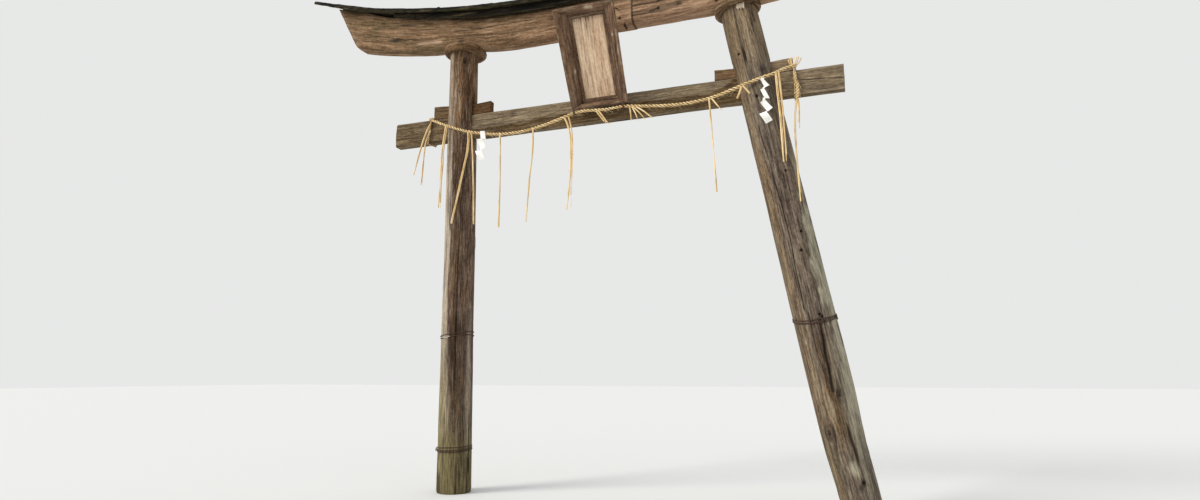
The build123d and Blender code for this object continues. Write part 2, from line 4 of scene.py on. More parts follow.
import bpy
import numpy as np
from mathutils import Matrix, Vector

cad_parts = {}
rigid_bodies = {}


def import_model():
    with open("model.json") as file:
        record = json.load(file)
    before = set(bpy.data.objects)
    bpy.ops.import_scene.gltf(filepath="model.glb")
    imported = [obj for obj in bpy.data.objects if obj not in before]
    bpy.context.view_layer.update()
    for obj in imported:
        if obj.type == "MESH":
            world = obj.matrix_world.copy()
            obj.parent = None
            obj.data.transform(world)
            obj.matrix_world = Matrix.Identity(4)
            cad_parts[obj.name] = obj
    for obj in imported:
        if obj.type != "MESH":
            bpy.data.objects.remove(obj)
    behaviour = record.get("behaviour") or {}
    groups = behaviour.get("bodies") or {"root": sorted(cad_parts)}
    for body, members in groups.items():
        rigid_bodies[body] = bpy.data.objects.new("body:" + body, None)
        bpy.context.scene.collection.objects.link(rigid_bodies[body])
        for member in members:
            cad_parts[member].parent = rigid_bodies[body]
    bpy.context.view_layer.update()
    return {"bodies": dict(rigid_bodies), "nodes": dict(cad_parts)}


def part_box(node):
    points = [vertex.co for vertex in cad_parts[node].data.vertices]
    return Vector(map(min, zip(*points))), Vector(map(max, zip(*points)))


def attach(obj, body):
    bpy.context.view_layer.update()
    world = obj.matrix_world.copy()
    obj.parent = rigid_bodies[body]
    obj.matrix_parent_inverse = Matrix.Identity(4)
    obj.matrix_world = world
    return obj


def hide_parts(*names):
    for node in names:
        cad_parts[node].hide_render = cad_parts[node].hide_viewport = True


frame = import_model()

scene = bpy.context.scene
kept = {o.name for o in (*frame["nodes"].values(), *frame["bodies"].values())}
for o in list(bpy.data.objects):
    if o.name not in kept:
        bpy.data.objects.remove(o)

# Camera, at the photograph's place and angle
lens = bpy.data.cameras.new("camera")
lens.lens, lens.sensor_width = 21.27, 36.0
lens.clip_end = 200
camera = bpy.data.objects.new("camera", lens)
camera.location = (2.3074, -3.802, 0.678)
camera.rotation_euler = (math.radians(100.019), 0, math.radians(20.059))
scene.collection.objects.link(camera)
scene.camera = camera

# Sizes that several pieces share, in metres and radians
CIRCLE = 2 * math.pi
MIDDLE = 0.930  # the gate's middle along x
BEAM_Z, BEAM_HALF, BEAM_ENDS = 2.245, 0.030, (-0.5097, 2.3099)  # mid height, half thickness, ends in x
WEDGE_HALF = 0.022  # half a wedge's thickness
LINTEL_HALF, LINTEL_ROUND = 0.065, 0.042  # half the lintel's thickness, and how round its lower edges are
SEAM = 1.1437  # where the lintel's two lengths meet
ROOF_RISE = math.tan(math.radians(12))  # how steeply the roof falls to the front and back
# How far each post leans, to the left
LEANS = {"left": math.radians(-0.63), "right": math.radians(-10.6)}
# A post's foot in x, its radius there, and its radius at the head
FEET = {"left": (0.0, 0.101, 0.088), "right": (2.273, 0.111, 0.099)}
HEAD_Z = 2.965  # the height at which a post has the radius of its head


# Small helpers: noise, meshes, frames along a line

def lattice(x, y, z, seed):
    n = (x * 374761393 + y * 668265263 + z * 1440662683 + seed * 974634777) & 0xFFFFFFFF
    n = ((n ^ (n >> 13)) * 1274126177) & 0xFFFFFFFF
    n = ((n ^ (n >> 16)) * 1274126177) & 0xFFFFFFFF
    return ((n ^ (n >> 15)) & 0xFFFF) / 32767.5 - 1


def noise(p, seed=0):
    """Smooth noise from -1 to 1 at each point."""
    i = np.floor(p).astype(np.int64)
    f = p - i
    f = f * f * (3 - 2 * f)
    out = 0
    for corner in np.ndindex(2, 2, 2):
        share = np.abs(1 - np.array(corner) - f).prod(1)
        out = out + share * lattice(*(i + np.array(corner)).T, seed)
    return out


def fbm(p, scale, seed=0, octaves=4):
    """Layered noise; scale is how many waves a metre has, or that along the grain and across it."""
    scale = np.array(scale, float)
    p = p * (scale[[0, 1, 1]] if scale.size == 2 else scale)
    return sum(noise(p * 2 ** k + 7.3 * k, seed + k) * 0.55 ** k for k in range(octaves))


def xyz(*columns):
    """Numbers or arrays of them side by side, as points."""
    return np.stack(np.broadcast_arrays(*columns), -1)


def waver(x, seed, row=0):
    """Smooth noise along one number."""
    return noise(xyz(x, row, 0), seed)


def smooth(x, low, high):
    t = np.clip((x - low) / (high - low), 0, 1)
    return t * t * (3 - 2 * t)


def patches(p, scale, seed, low, high, octaves=3):
    """Layered noise cut to blotches from 0 to 1."""
    return smooth(fbm(p, scale, seed, octaves), low, high)


def bell(x, width, power=2):
    """1 at zero, fading to nothing past the width."""
    return np.exp(-(x / width) ** power)


def unit(v):
    return v / np.maximum(np.linalg.norm(v, axis=-1, keepdims=True), 1e-12)


def wrap(angle):
    """The same angle between minus and plus half a circle."""
    return np.mod(angle + math.pi, CIRCLE) - math.pi


def angles(count):
    return np.arange(count) / count * CIRCLE


def around(angle, n, b):
    """The direction at an angle between two square ones."""
    return np.cos(angle)[..., None] * n + np.sin(angle)[..., None] * b


def to_line(p, points):
    """Distance of each point from a polyline."""
    best = np.full(len(p), np.inf)
    points = np.array(points, float)
    for a, b in zip(points, points[1:]):
        d = b - a
        t = np.clip((p - a) @ d / (d @ d), 0, 1)
        best = np.minimum(best, np.linalg.norm(p - a - t[:, None] * d, axis=1))
    return best


def distances(line):
    """How far along a line each of its points lies."""
    return np.concatenate([[0], np.cumsum(np.linalg.norm(np.diff(line, axis=0), axis=1))])


def read_at(line, along, at):
    return np.stack([np.interp(at, along, column) for column in line.T], 1)


def spaced(line, step):
    """The line again, with points about a step apart, and their distances along it."""
    along = distances(line)
    at = np.linspace(0, along[-1], max(3, int(along[-1] / step) + 1))
    return read_at(line, along, at), at


def grid_faces(rows, cols):
    """Faces between closed rings of points."""
    a = np.arange((rows - 1) * cols)
    b = a - a % cols + (a + 1) % cols
    return np.stack([a, b, b + cols, a + cols], 1)


def skin(rings):
    return np.concatenate(rings), grid_faces(len(rings), len(rings[0]))


def shrunk(ring, shares):
    """A ring again, drawn in towards its middle by each share."""
    middle = ring.mean(0)
    return [middle + (ring - middle) * share for share in shares]


def normals(verts, quads):
    a, b, c, d = verts[quads.T]
    out = np.zeros_like(verts)
    for k in range(4):
        np.add.at(out, quads[:, k], np.cross(c - a, d - b))
    return unit(out)


def merge(parts):
    """Several (points, faces) or (points, faces, grain) as one."""
    verts, quads, *grain = zip(*parts)
    starts = np.cumsum([0] + [len(v) for v in verts])
    quads = [q + start for q, start in zip(quads, starts)]
    return [np.concatenate(group) for group in (verts, quads, *grain)]


def piece(name, shape, material, node=None, marks=None, angle=50):
    """One piece of the scene, from its points, its faces and its grain coordinates if it has them."""
    verts, quads, *grain = shape
    mesh = bpy.data.meshes.new(name)
    mesh.from_pydata(verts.tolist(), [], quads.tolist())
    mesh.update()
    mesh.polygons.foreach_set("use_smooth", np.full(len(mesh.polygons), True))
    mesh.set_sharp_from_angle(angle=math.radians(angle))
    layers = [("grain", "FLOAT_VECTOR", "vector", data) for data in grain]
    if marks is not None:
        layers.append(("marks", "FLOAT_COLOR", "color", marks))
    for label, kind, field, data in layers:
        values = mesh.attributes.new(label, kind, "POINT").data
        values.foreach_set(field, np.ascontiguousarray(data, np.float32).ravel())
    mesh.materials.append(material)
    obj = bpy.data.objects.new(name, mesh)
    scene.collection.objects.link(obj)
    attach(obj, "root")
    if node:
        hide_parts(node)
    return obj


def metres(points):
    return [tuple(c / 1000 for c in p) for p in points]


def spline_line(points, name):
    """Points read from the smooth NURBS line of a cord's route."""
    curve = bpy.data.curves.new(name, "CURVE")
    curve.dimensions = "3D"
    curve.resolution_u = 12
    spline = curve.splines.new("NURBS")
    spline.points.add(len(points) - 1)
    for place, point in zip(spline.points, points):
        place.co = (*point, 1)
    spline.order_u = 3
    spline.use_endpoint_u = True
    bare = bpy.data.objects.new(name, curve)
    mesh = bpy.data.meshes.new_from_object(bare)
    line = np.array([v.co[:] for v in mesh.vertices], float)
    bpy.data.objects.remove(bare)
    bpy.data.meshes.remove(mesh)
    return line


def carried(line):
    """Two directions square to a line, carried along it without twist."""
    t = unit(np.gradient(line, axis=0))
    n = np.zeros_like(t)
    seed = np.array([0, 1.0, 0]) if abs(t[0][1]) < 0.8 else np.array([1.0, 0, 0])
    n[0] = unit(seed - (seed @ t[0]) * t[0])
    for i in range(1, len(t)):
        n[i] = unit(n[i - 1] - (n[i - 1] @ t[i]) * t[i])
    return n, np.cross(t, n)


def pinched(rings, line, share):
    """Rings along a line, with a small one added to close each end."""
    first, last = (line[k] + (rings[k] - line[k]) * share for k in (0, -1))
    return [first, *rings, last]


def tube(line, radius, sides, flatness=1.0, turn=0.0, ends=True):
    """A round or flattened tube along a line."""
    n, b = carried(line)
    radius, turn = (np.broadcast_to(value, len(line))[:, None] for value in (radius, turn))
    x, y = np.cos(angles(sides)), np.sin(angles(sides)) * flatness
    u, v = x * np.cos(turn) - y * np.sin(turn), x * np.sin(turn) + y * np.cos(turn)
    rings = line[:, None] + radius[..., None] * (u[..., None] * n[:, None] + v[..., None] * b[:, None])
    return skin(pinched(rings, line, 0.02) if ends else rings)


def tube_grain(along, a, size, shift):
    """Grain coordinates of a pinched tube: the distance along it, and the place round it."""
    far = np.concatenate([[0], along, along[-1:]])
    return xyz(np.repeat(far, len(a)) + shift, *(np.tile(f(a), len(far)) * size for f in (np.cos, np.sin)))


# Materials

def linear(rgb):
    shares = (v / 255 for v in rgb)
    return (*(c / 12.92 if c <= 0.04045 else ((c + 0.055) / 1.055) ** 2.4 for c in shares), 1)


class Value:
    """An output of a node, with ordinary arithmetic."""

    def __init__(self, paint, socket):
        self.paint, self.socket = paint, socket

    def __add__(self, other):
        return self.paint.math("ADD", self, other)

    def __sub__(self, other):
        return self.paint.math("SUBTRACT", self, other)

    def __mul__(self, other):
        return self.paint.math("MULTIPLY", self, other)


class Paint:
    """The node tree of a material or a world, built with short calls."""

    def __init__(self, owner):
        self.owner = owner
        owner.use_nodes = True
        self.tree = owner.node_tree
        self.tree.nodes.clear()

    def node(self, kind, inputs=(), **settings):
        n = self.tree.nodes.new("ShaderNode" + kind)
        for key, value in settings.items():
            setattr(n, key, value)
        for key, value in dict(inputs).items():
            value = getattr(value, "socket", value)
            if isinstance(value, bpy.types.NodeSocket):
                self.tree.links.new(value, n.inputs[key])
            else:
                n.inputs[key].default_value = value
        return n

    def value(self, kind, inputs=(), output=0, **settings):
        return Value(self, self.node(kind, inputs, **settings).outputs[output])

    def attribute(self, name, output="Vector"):
        return self.value("Attribute", (), output, attribute_name=name)

    def noise(self, vector, scale, detail, rough=0.55, distortion=0.0):
        """Noise whose scale is one number, or one along the grain and one across it."""
        if isinstance(scale, tuple):
            vector = self.value("Mapping", {"Vector": vector, "Scale": (scale[0], scale[1], scale[1])})
            scale = 1.0
        return self.value("TexNoise", {"Vector": vector, "Scale": scale, "Detail": detail, "Roughness": rough,
                                       "Distortion": distortion})

    def ramp(self, fac, *stops):
        n = self.node("ValToRGB", {"Fac": fac})
        while len(n.color_ramp.elements) < len(stops):
            n.color_ramp.elements.new(0.5)
        for element, (at, colour) in zip(n.color_ramp.elements, stops):
            element.position = at
            element.color = linear(colour)
        return Value(self, n.outputs[0])

    def math(self, what, a, b):
        return self.value("Math", {0: a, 1: b}, operation=what)

    def remap(self, value, a, b, c=0.0, d=1.0):
        inputs = {"Value": value, "From Min": a, "From Max": b, "To Min": c, "To Max": d}
        return self.value("MapRange", inputs)

    def mix(self, fac, a, b):
        b = linear(b) if isinstance(b, tuple) else b
        return self.value("Mix", {0: fac, 6: a, 7: b}, 2, data_type="RGBA")

    def bump(self, height, strength, distance):
        return self.value("Bump", {"Height": height, "Strength": strength, "Distance": distance})

    def done(self, colour, rough, normal=None, shine=0.5, metal=0.0):
        inputs = {"Base Color": colour, "Roughness": rough, "Specular IOR Level": shine, "Metallic": metal}
        if normal:
            inputs["Normal"] = normal
        shader = self.value("BsdfPrincipled", inputs)
        self.node("OutputMaterial", {0: shader})
        return self.owner


def wood(name, cool, warm, pale=(196, 178, 152), deep=(30, 24, 19), moss=(112, 106, 60), streak=120.0,
         fibre=380.0, depth=0.0016, veined=0.55, ghosts=0.25):
    """Weathered wood: streaks and fibres follow the grain attribute, and the marks attribute paints pale and
    dark places, moss, and the share of the warm tone."""
    m = Paint(bpy.data.materials.new(name))
    grain, share = m.attribute("grain"), m.attribute("marks", "Alpha")
    split = m.node("SeparateColor", {"Color": m.attribute("marks", "Color")})
    light, dark, green = (Value(m, split.outputs[k]) for k in range(3))
    broad = m.noise(grain, (2.8, 24.0), 4.0, 0.55, 0.4)
    streaks = m.noise(grain, (9.0, streak), 4.0, 0.6, 0.2)
    fibres = m.noise(grain, (42.0, fibre), 3.0, 0.65, 0.1)
    mottle = m.noise(grain, (55.0, 110.0), 4.0, 0.7, 0.2)
    fine = m.noise(grain, (60.0, 1300.0), 2.0, 0.5)
    tone = streaks * 0.32 + fibres * 0.25 + broad * 0.22 + mottle * 0.21
    cold, hot = (m.ramp(tone, *zip((0.42, 0.48, 0.53, 0.59), tones)) for tones in (cool, warm))
    colour = m.mix(m.remap(share + (broad - 0.5) * 0.8, 0.2, 0.8), cold, hot)
    bleached = m.remap(m.noise(grain, (7.0, streak * 0.8), 3.0, 0.65), 0.55, 0.68)
    colour = m.mix(bleached * ghosts, colour, pale)
    veins = m.remap(m.noise(grain, (6.0, streak * 0.95), 3.0, 0.7), 0.57, 0.65)
    colour = m.mix(veins * veined, colour, deep)
    fleck = m.remap(fibres * 0.5 + streaks * 0.5, 0.40, 0.60)
    colour = m.mix(light * (fleck * 0.65 + 0.35), colour, pale)
    colour = m.mix(dark * 0.93, colour, deep)
    patch = m.noise(grain, 95.0, 4.0, 0.65)
    cover = m.remap(green + (patch - 0.5), 0.2, 0.9) * (dark * -0.9 + 1.0) * m.remap(green, 0.02, 0.25)
    tufts = m.noise(grain, 300.0, 2.0) * 0.4 + streaks * 0.6
    dim, half = (tuple(c * part for c in moss) for part in (0.5, 0.82))
    colour = m.mix(cover, colour, m.ramp(tufts, (0.40, dim), (0.50, half), (0.62, moss)))
    height = streaks * 0.9 + fibres * 0.55 + fine * 0.22 - veins * 0.35
    return m.done(colour, m.remap(streaks, 0.3, 0.7, 0.95, 0.72), m.bump(height, 0.85, depth), 0.14)


def straw_paint():
    """Dry straw, with painted shade in the creases between strands, where the grain's second number sinks
    below zero.
    """
    m = Paint(bpy.data.materials.new("straw"))
    grain = m.attribute("grain")
    long = m.noise(grain, (9.0, 900.0), 3.0, 0.6)
    broad = m.noise(grain, (14.0, 60.0), 3.0, 0.6)
    colour = m.ramp(long * 0.5 + broad * 0.5, (0.36, (170, 134, 82)), (0.46, (219, 185, 126)),
                    (0.54, (239, 211, 158)), (0.64, (250, 233, 196)))
    # painted shade in the creases between strands
    crease_shade = m.remap(m.value("SeparateXYZ", {"Vector": grain}, 1), 0.0022, -0.0025)
    return m.done(m.mix(crease_shade * 0.85, colour, (84, 58, 32)), 0.62, m.bump(long, 0.6, 0.0006), 0.35)


def paper_paint():
    m = Paint(bpy.data.materials.new("paper"))
    grain = m.attribute("grain")
    fibres = m.noise(grain, (900.0, 300.0), 3.0, 0.6)
    colour = m.ramp(m.noise(grain, 40.0, 4.0, 0.6) * 0.7 + fibres * 0.3, (0.35, (222, 219, 210)),
                    (0.5, (243, 241, 235)), (0.65, (252, 251, 248)))
    return m.done(colour, 0.85, m.bump(fibres, 0.3, 0.0004), 0.2)


def iron_paint():
    m = Paint(bpy.data.materials.new("iron"))
    place = m.value("TexCoord", (), "Object")
    scale, fine = m.noise(place, 160.0, 5.0, 0.65), m.noise(place, 900.0, 3.0, 0.6)
    tone = scale * 0.7 + fine * 0.3
    colour = m.ramp(tone, (0.38, (34, 28, 26)), (0.5, (62, 46, 38)), (0.62, (112, 68, 42)))
    return m.done(colour, m.remap(scale, 0.4, 0.6, 0.55, 0.85), m.bump(scale + fine, 0.7, 0.0008), metal=0.35)


def zinc_paint():
    """Newer wire, dull and pale."""
    m = Paint(bpy.data.materials.new("zinc"))
    clouds = m.noise(m.value("TexCoord", (), "Object"), 200.0, 4.0, 0.6)
    return m.done(m.ramp(clouds, (0.4, (176, 166, 148)), (0.6, (226, 220, 206))), 0.55, metal=0.2)


def moss_paint():
    m = Paint(bpy.data.materials.new("moss"))
    place = m.value("TexCoord", (), "Object")
    clumps, fine = m.noise(place, 120.0, 3.0, 0.6), m.noise(place, 1100.0, 3.0, 0.65)
    tone = clumps * 0.55 + fine * 0.45
    colour = m.ramp(tone, (0.36, (40, 42, 18)), (0.48, (72, 74, 32)), (0.6, (112, 110, 54)))
    return m.done(colour, 0.95, m.bump(fine, 1.0, 0.002), 0.15)


left_wood = wood("left_post_wood", ((62, 48, 39), (88, 70, 58), (107, 88, 75), (136, 117, 100)),
                 ((62, 44, 29), (92, 67, 46), (116, 89, 64), (146, 118, 88)), (214, 200, 178),
                 moss=(146, 135, 88))
right_wood = wood("right_post_wood", ((62, 50, 42), (92, 78, 67), (116, 101, 88), (144, 129, 112)),
                  ((66, 49, 34), (104, 82, 58), (132, 108, 80), (162, 138, 108)), (178, 172, 148))
lintel_wood = wood("lintel_wood", ((78, 62, 41), (104, 85, 59), (123, 101, 72), (147, 125, 94)),
                   ((92, 66, 46), (128, 96, 70), (152, 118, 90), (178, 144, 114)), (208, 176, 146),
                   veined=0.45, ghosts=0.3)
beam_wood = wood("beam_wood", ((66, 52, 36), (94, 78, 57), (117, 100, 76), (144, 128, 101)),
                 ((62, 46, 26), (88, 69, 42), (108, 86, 56), (132, 108, 74)), veined=0.5, ghosts=0.3)
wedge_wood = wood("wedge_wood", ((64, 48, 28), (90, 70, 44), (112, 88, 58), (136, 110, 76)),
                  ((58, 38, 18), (84, 58, 30), (106, 76, 44), (130, 98, 62)), veined=0.5, ghosts=0.12)
roof_wood = wood("roof_wood", ((16, 14, 9), (36, 32, 22), (66, 60, 44), (104, 96, 74)),
                 ((22, 16, 9), (46, 36, 22), (74, 62, 42), (104, 92, 70)), (122, 114, 88), (9, 8, 6),
                 (92, 92, 44), streak=70.0, ghosts=0.15)
frame_wood = wood("frame_wood", ((66, 49, 38), (96, 74, 57), (116, 91, 72), (140, 114, 92)),
                  ((70, 49, 34), (104, 77, 56), (124, 94, 70), (148, 116, 90)), streak=90.0, fibre=520.0,
                  depth=0.0009, veined=0.35, ghosts=0.2)
# the panel's colours are brightened as painted light, since it faces down and gets little light from above
panel_wood = wood("panel_wood", ((160, 132, 108), (196, 166, 140), (214, 186, 160), (230, 206, 182)),
                  ((168, 134, 102), (202, 168, 132), (220, 188, 152), (234, 208, 178)), (236, 220, 196),
                  (52, 38, 30), streak=90.0, fibre=620.0, depth=0.0007, veined=0.3, ghosts=0.3)
collar_wood = wood("collar_wood", ((62, 46, 32), (92, 71, 50), (114, 91, 66), (140, 116, 88)),
                   ((68, 46, 27), (104, 74, 46), (126, 94, 62), (150, 118, 84)), streak=60.0)
straw, paper, iron, moss, zinc = straw_paint(), paper_paint(), iron_paint(), moss_paint(), zinc_paint()

# Rope, hanging straw and papers

rope_line = spline_line(metres((
    (-238, -37, 2318), (-172, -72, 2285), (-98, -99, 2246), (-16, -107, 2211), (66, -105, 2182),
    (165, -103, 2157), (298, -104, 2134), (424, -106, 2130), (540, -108, 2142), (640, -110, 2162),
    (724, -111, 2184), (797, -112, 2205), (858, -113, 2210), (928, -113, 2203), (996, -113, 2199),
    (1058, -112, 2203), (1114, -112, 2205), (1192, -111, 2194), (1304, -110, 2180), (1424, -110, 2172),
    (1546, -112, 2175), (1634, -115, 2188), (1716, -118, 2209), (1798, -119, 2235), (1882, -115, 2259),
    (1952, -99, 2280), (2006, -72, 2314), (2056, -37, 2336))), "rope_route")
tail_line = spline_line(metres((
    (2056, -39.5, 2300), (2062, -52, 2256), (2073, -54, 2203), (2066, -53, 2134))), "tail_route")


def twisted(line, diameter, pitch, seed, step=0.004, lumps=0.10):
    """Two straw strands laid round each other, each with the relief of its own stalks."""
    points, along = spaced(line, step)
    n, b = carried(points)
    r = np.random.default_rng(seed)
    a = angles(10)
    swell = 1 + lumps * fbm(xyz(along, seed, 0), (16, 1), seed, 2)
    parts = []
    for k in (0, 1):
        turn = along / pitch * CIRCLE + k * math.pi + 0.25 * np.sin(along * 31 + seed)
        middle = points + (diameter * 0.27 * swell)[:, None] * around(turn, n, b)
        outward = unit(middle - points)
        side = np.cross(unit(np.gradient(middle, axis=0)), outward)
        relief = 1 + 0.09 * np.cos(4 * a + along[:, None] / pitch * 9 + k)
        rough = 1 + 0.05 * r.standard_normal((len(points), len(a)))
        thick = diameter * 0.275 * swell[:, None] * relief * rough
        rings = middle[:, None] + thick[..., None] * around(a, outward[:, None], side[:, None])
        parts.append((*skin(pinched(rings, middle, 0.1)), tube_grain(along, a, 0.006, k * 3.1)))
    return merge(parts)


def fibres(line, diameter, count, seed):
    """Stray straw ends that stand off a rope."""
    r = np.random.default_rng(seed)
    points = spaced(line, 0.004)[0]
    n, b = carried(points)
    t = unit(np.gradient(points, axis=0))
    s = np.linspace(0, 1, 6)[:, None]
    parts = []
    for k in range(count):
        i = r.integers(2, len(points) - 2)
        a = r.random() * CIRCLE
        out = math.cos(a) * n[i] + math.sin(a) * b[i]
        way = t[i] * (1 if r.random() < 0.7 else -1)
        reach = r.uniform(0.015, 0.045)
        path = points[i] + out * (diameter * 0.36 + reach * 0.33 * s ** 1.6) + way * reach * s * 0.9
        path[:, 2] -= reach * 0.25 * s[:, 0] ** 2
        v, q = tube(path, 0.0006 * r.uniform(0.7, 1.3) * np.linspace(1, 0.35, 6), 3)
        far = np.repeat(np.linspace(0, reach, 8), 3) + k
        parts.append((v, q, xyz(far, 0.05 + v[:, 1] * 0.2, v[:, 2] * 0.2)))
    return merge(parts)


def bundle(line, diameter, seed):
    """A hanging bundle of flat straw stalks along a line: two, three or five, by its thickness."""
    r = np.random.default_rng(seed)
    points, along = spaced(line, 0.016)
    n, b = carried(points)
    share = along / along[-1]
    small, middling = diameter < 0.0065, diameter < 0.012
    count, size, gap = (2, 0.50, 0.36) if small else (3, 0.46, 0.40) if middling else (5, 0.30, 0.40)
    taper = 0.4 if diameter > 0.014 else 0.15
    parts = []
    for k in range(count):
        first = CIRCLE * k / count + r.random()
        turn = first + share * r.uniform(-1.5, 1.5)
        off = diameter * gap * (1 + 0.18 * np.sin(along * r.uniform(18, 30) + first))
        stop = len(points) if k % 2 == 0 else max(4, int(len(points) * r.uniform(0.88, 1.0)))
        path = points + off[:, None] * around(turn, n, b)
        wide = diameter * size * (1 - taper * share) * (1 + 0.08 * np.sin(along * 55 + k))
        v, q = tube(path[:stop], wide[:stop], 7, 0.62, turn[:stop] + 1.2)
        parts.append((v, q, tube_grain(along[:stop], angles(7), 0.002, 1.7 * k + seed) + (0, 0.006, 0)))
    return merge(parts)


def straw_piece(name, shape, node=None):
    return piece(name, shape, straw, node)


rope = straw_piece("rope_strands", twisted(rope_line, 0.0158, 0.044, 3), "rope")
rope_fibres = straw_piece("rope_fibres", fibres(rope_line, 0.016, 420, 5))
tail = straw_piece("rope_tail_strands", twisted(tail_line, 0.0155, 0.034, 8, lumps=0.22), "rope_tail")
tail_fibres = straw_piece("rope_tail_fibres", fibres(tail_line, 0.016, 60, 9))


def beam_depth(x):
    """The tie beam's height at x."""
    left, right = BEAM_ENDS
    return 0.162 + (0.145 - 0.162) * (x - left) / (right - left)


def tie_loop(x, seed, slant):
    """A turn of straw rope round the tie beam; slant is how far its front run leans left at the bottom."""
    clear = 0.0064
    a = np.arange(97) / 96 * CIRCLE
    cy, cz = (np.sign(c) * np.abs(c) ** 0.16 for c in (np.cos(a), np.sin(a)))
    lean = slant * (1 - cy) * (1 - cz) / 4
    z = BEAM_Z + (beam_depth(x) / 2 + clear) * cz
    loop = xyz(x - lean + 0.004 * np.sin(a), (BEAM_HALF + clear) * cy, z)
    return twisted(loop, 0.0115, 0.034, seed, 0.005)


def knot(centre, seed):
    """A lump of straw rope wound round itself."""
    radius = 0.012
    a = np.linspace(0, 2.4 * CIRCLE, 60)
    tilt = 0.5 * np.sin(a * 0.5 + seed)
    path = centre + xyz(0.75 * radius * np.cos(a), 0.6 * radius * np.sin(a) * np.cos(tilt) - 0.004,
                        radius * (np.sin(a) * np.sin(tilt) + 0.5 * (a / a[-1] - 0.5)))
    return twisted(path, 0.011, 0.03, seed)


for side, x, seed, slant in (("left", -0.238, 21, 0.019), ("right", 2.056, 31, 0.0)):
    straw_piece("rope_tie_%s_turns" % side, tie_loop(x, seed, slant), "rope_tie_" + side)
rope_knots = [straw_piece("rope_knot_" + side, knot((x, -0.040, z), seed))
              for side, x, z, seed in (("left", -0.238, 2.320, 41), ("right", 2.056, 2.331, 43))]


def tuft():
    """The brush of straw ends that stands up from the right-hand tie."""
    r = np.random.default_rng(51)
    s = np.linspace(0, 1, 8)[:, None]
    parts = []
    for k in range(9):
        lean = (k - 4) / 4 + r.uniform(-0.08, 0.08)
        tall = 0.060 * (1 - 0.25 * lean ** 2) * r.uniform(0.85, 1.08)
        foot = np.array([2.056 + 0.005 * lean, -0.036 + r.uniform(-0.004, 0.004), 2.330])
        top = np.array([0.032 * lean + 0.006, r.uniform(-0.006, 0.006), tall])
        path = foot + top * s + np.array([0.006 * lean, 0, -0.003]) * np.sin(s * math.pi)
        v, q = tube(path, 0.0034 * np.linspace(0.8, 1, 8) * r.uniform(0.8, 1.2), 6, 0.45, r.random() * 3)
        far = np.repeat(np.linspace(0, 0.06, 10), 6) + k
        parts.append((v, q, xyz(far, 0.05 + v[:, 1] * 0.3, v[:, 0] * 0.3)))
    return merge(parts)


rope_tuft = straw_piece("rope_tuft_straws", tuft(), "rope_tuft")

# Hanging straws, in millimetres: the node, where the straw starts (or the x at which it leaves the rope), its
# route below that, and its diameter
strands = [
    ("tassel_left_end", (-238, -42.4, 2292), [(-251, -60, 2250), (-289, -66, 2130), (-332, -67, 1947)], 8),
    ("tassel_left_end", (-238, -42.4, 2244), [(-256, -54, 2200), (-267, -62, 2110), (-275, -64, 1876)], 7),
    ("tassel_left_post_side", -84, [(-91, -115, 2120), (-97, -116, 1900), (-101, -116, 1702)], 15),
    ("tassel_left_post_front", 82, [(98, -116, 2100), (52, -113, 1900), (-12, -111, 1596)], 10),
    ("tassel_left_post_front", 104, [(116, -112, 2096), (133, -112, 1850), (144, -112, 1580)], 7),
    ("tassel_span_1", 308, [(316, -107, 1917), (311, -106, 1551)], 8),
    ("tassel_span_2", 526, [(535, -110, 2012), (508, -110, 1823), (494, -109, 1568)], 7),
    ("tassel_span_3", 736, [(773, -114, 2112), (781, -115, 1970), (778, -115, 1809), (757, -114, 1623)], 8),
    ("tassel_span_3", 762, [(790, -115, 2104), (790, -115, 1900), (780, -115, 1640)], 6),
    ("tassel_tablet", 956, [(983, -115, 2147), (1016, -115, 2106)], 6),
    ("tassel_tablet", 938, [(962, -119, 2158), (999, -122, 2112)], 6),
    ("tassel_right_hook", 1140, [(1149, -113, 2150), (1148, -113, 2110)], 6),
    ("tassel_right_hook", 1152, [(1180, -113, 2150), (1192, -113, 2108)], 6),
    ("tassel_right_hook", 1164, [(1206, -113, 2150), (1232, -113, 2110)], 6),
    ("tassel_right_hook", 1178, [(1236, -113, 2152), (1274, -113, 2112)], 6),
    ("tassel_span_4", 1600, [(1612, -114, 2028), (1630, -114, 1649)], 8),
    ("tassel_span_4", 1614, [(1642, -116, 2138), (1671, -116, 2101)], 6),
    ("tassel_right_post_edge", 1780, [(1771, -121, 2190), (1755, -121, 2158)], 7),
    ("tassel_right_post_edge", 1790, [(1806, -121, 2202), (1824, -121, 2176)], 7),
    ("tassel_right_post_front", 1962, [(1974, -112, 2120), (1981, -114, 1960), (1986, -114, 1779)], 9),
    ("tassel_right_post_front", 1976, [(1989, -110, 2150), (1995, -112, 1990), (2001, -113, 1784)], 8),
    ("tassel_rope_end", (2062.5, -53, 2138),
     [(2052, -57, 2080), (2046, -62, 1932), (2051, -72, 1745), (2060, -80, 1567)], 8),
    ("tassel_rope_end", (2070, -53, 2138), [(2075, -54, 2060), (2067, -54, 1973)], 6),
]
for i, (node, start, below, size) in enumerate(strands):
    on_rope = rope_line[np.argmin(np.abs(rope_line[:, 0] - start / 1000))] if isinstance(start, int) else None
    x, y, z = metres([start])[0] if on_rope is None else on_rope
    line = spline_line([(x, y - 0.002, z - 0.004), *metres(below)], "%s_%d_route" % (node, i))
    hung = straw_piece("%s_straws_%d" % (node, i), bundle(line, size / 1000, 60 + i), node)


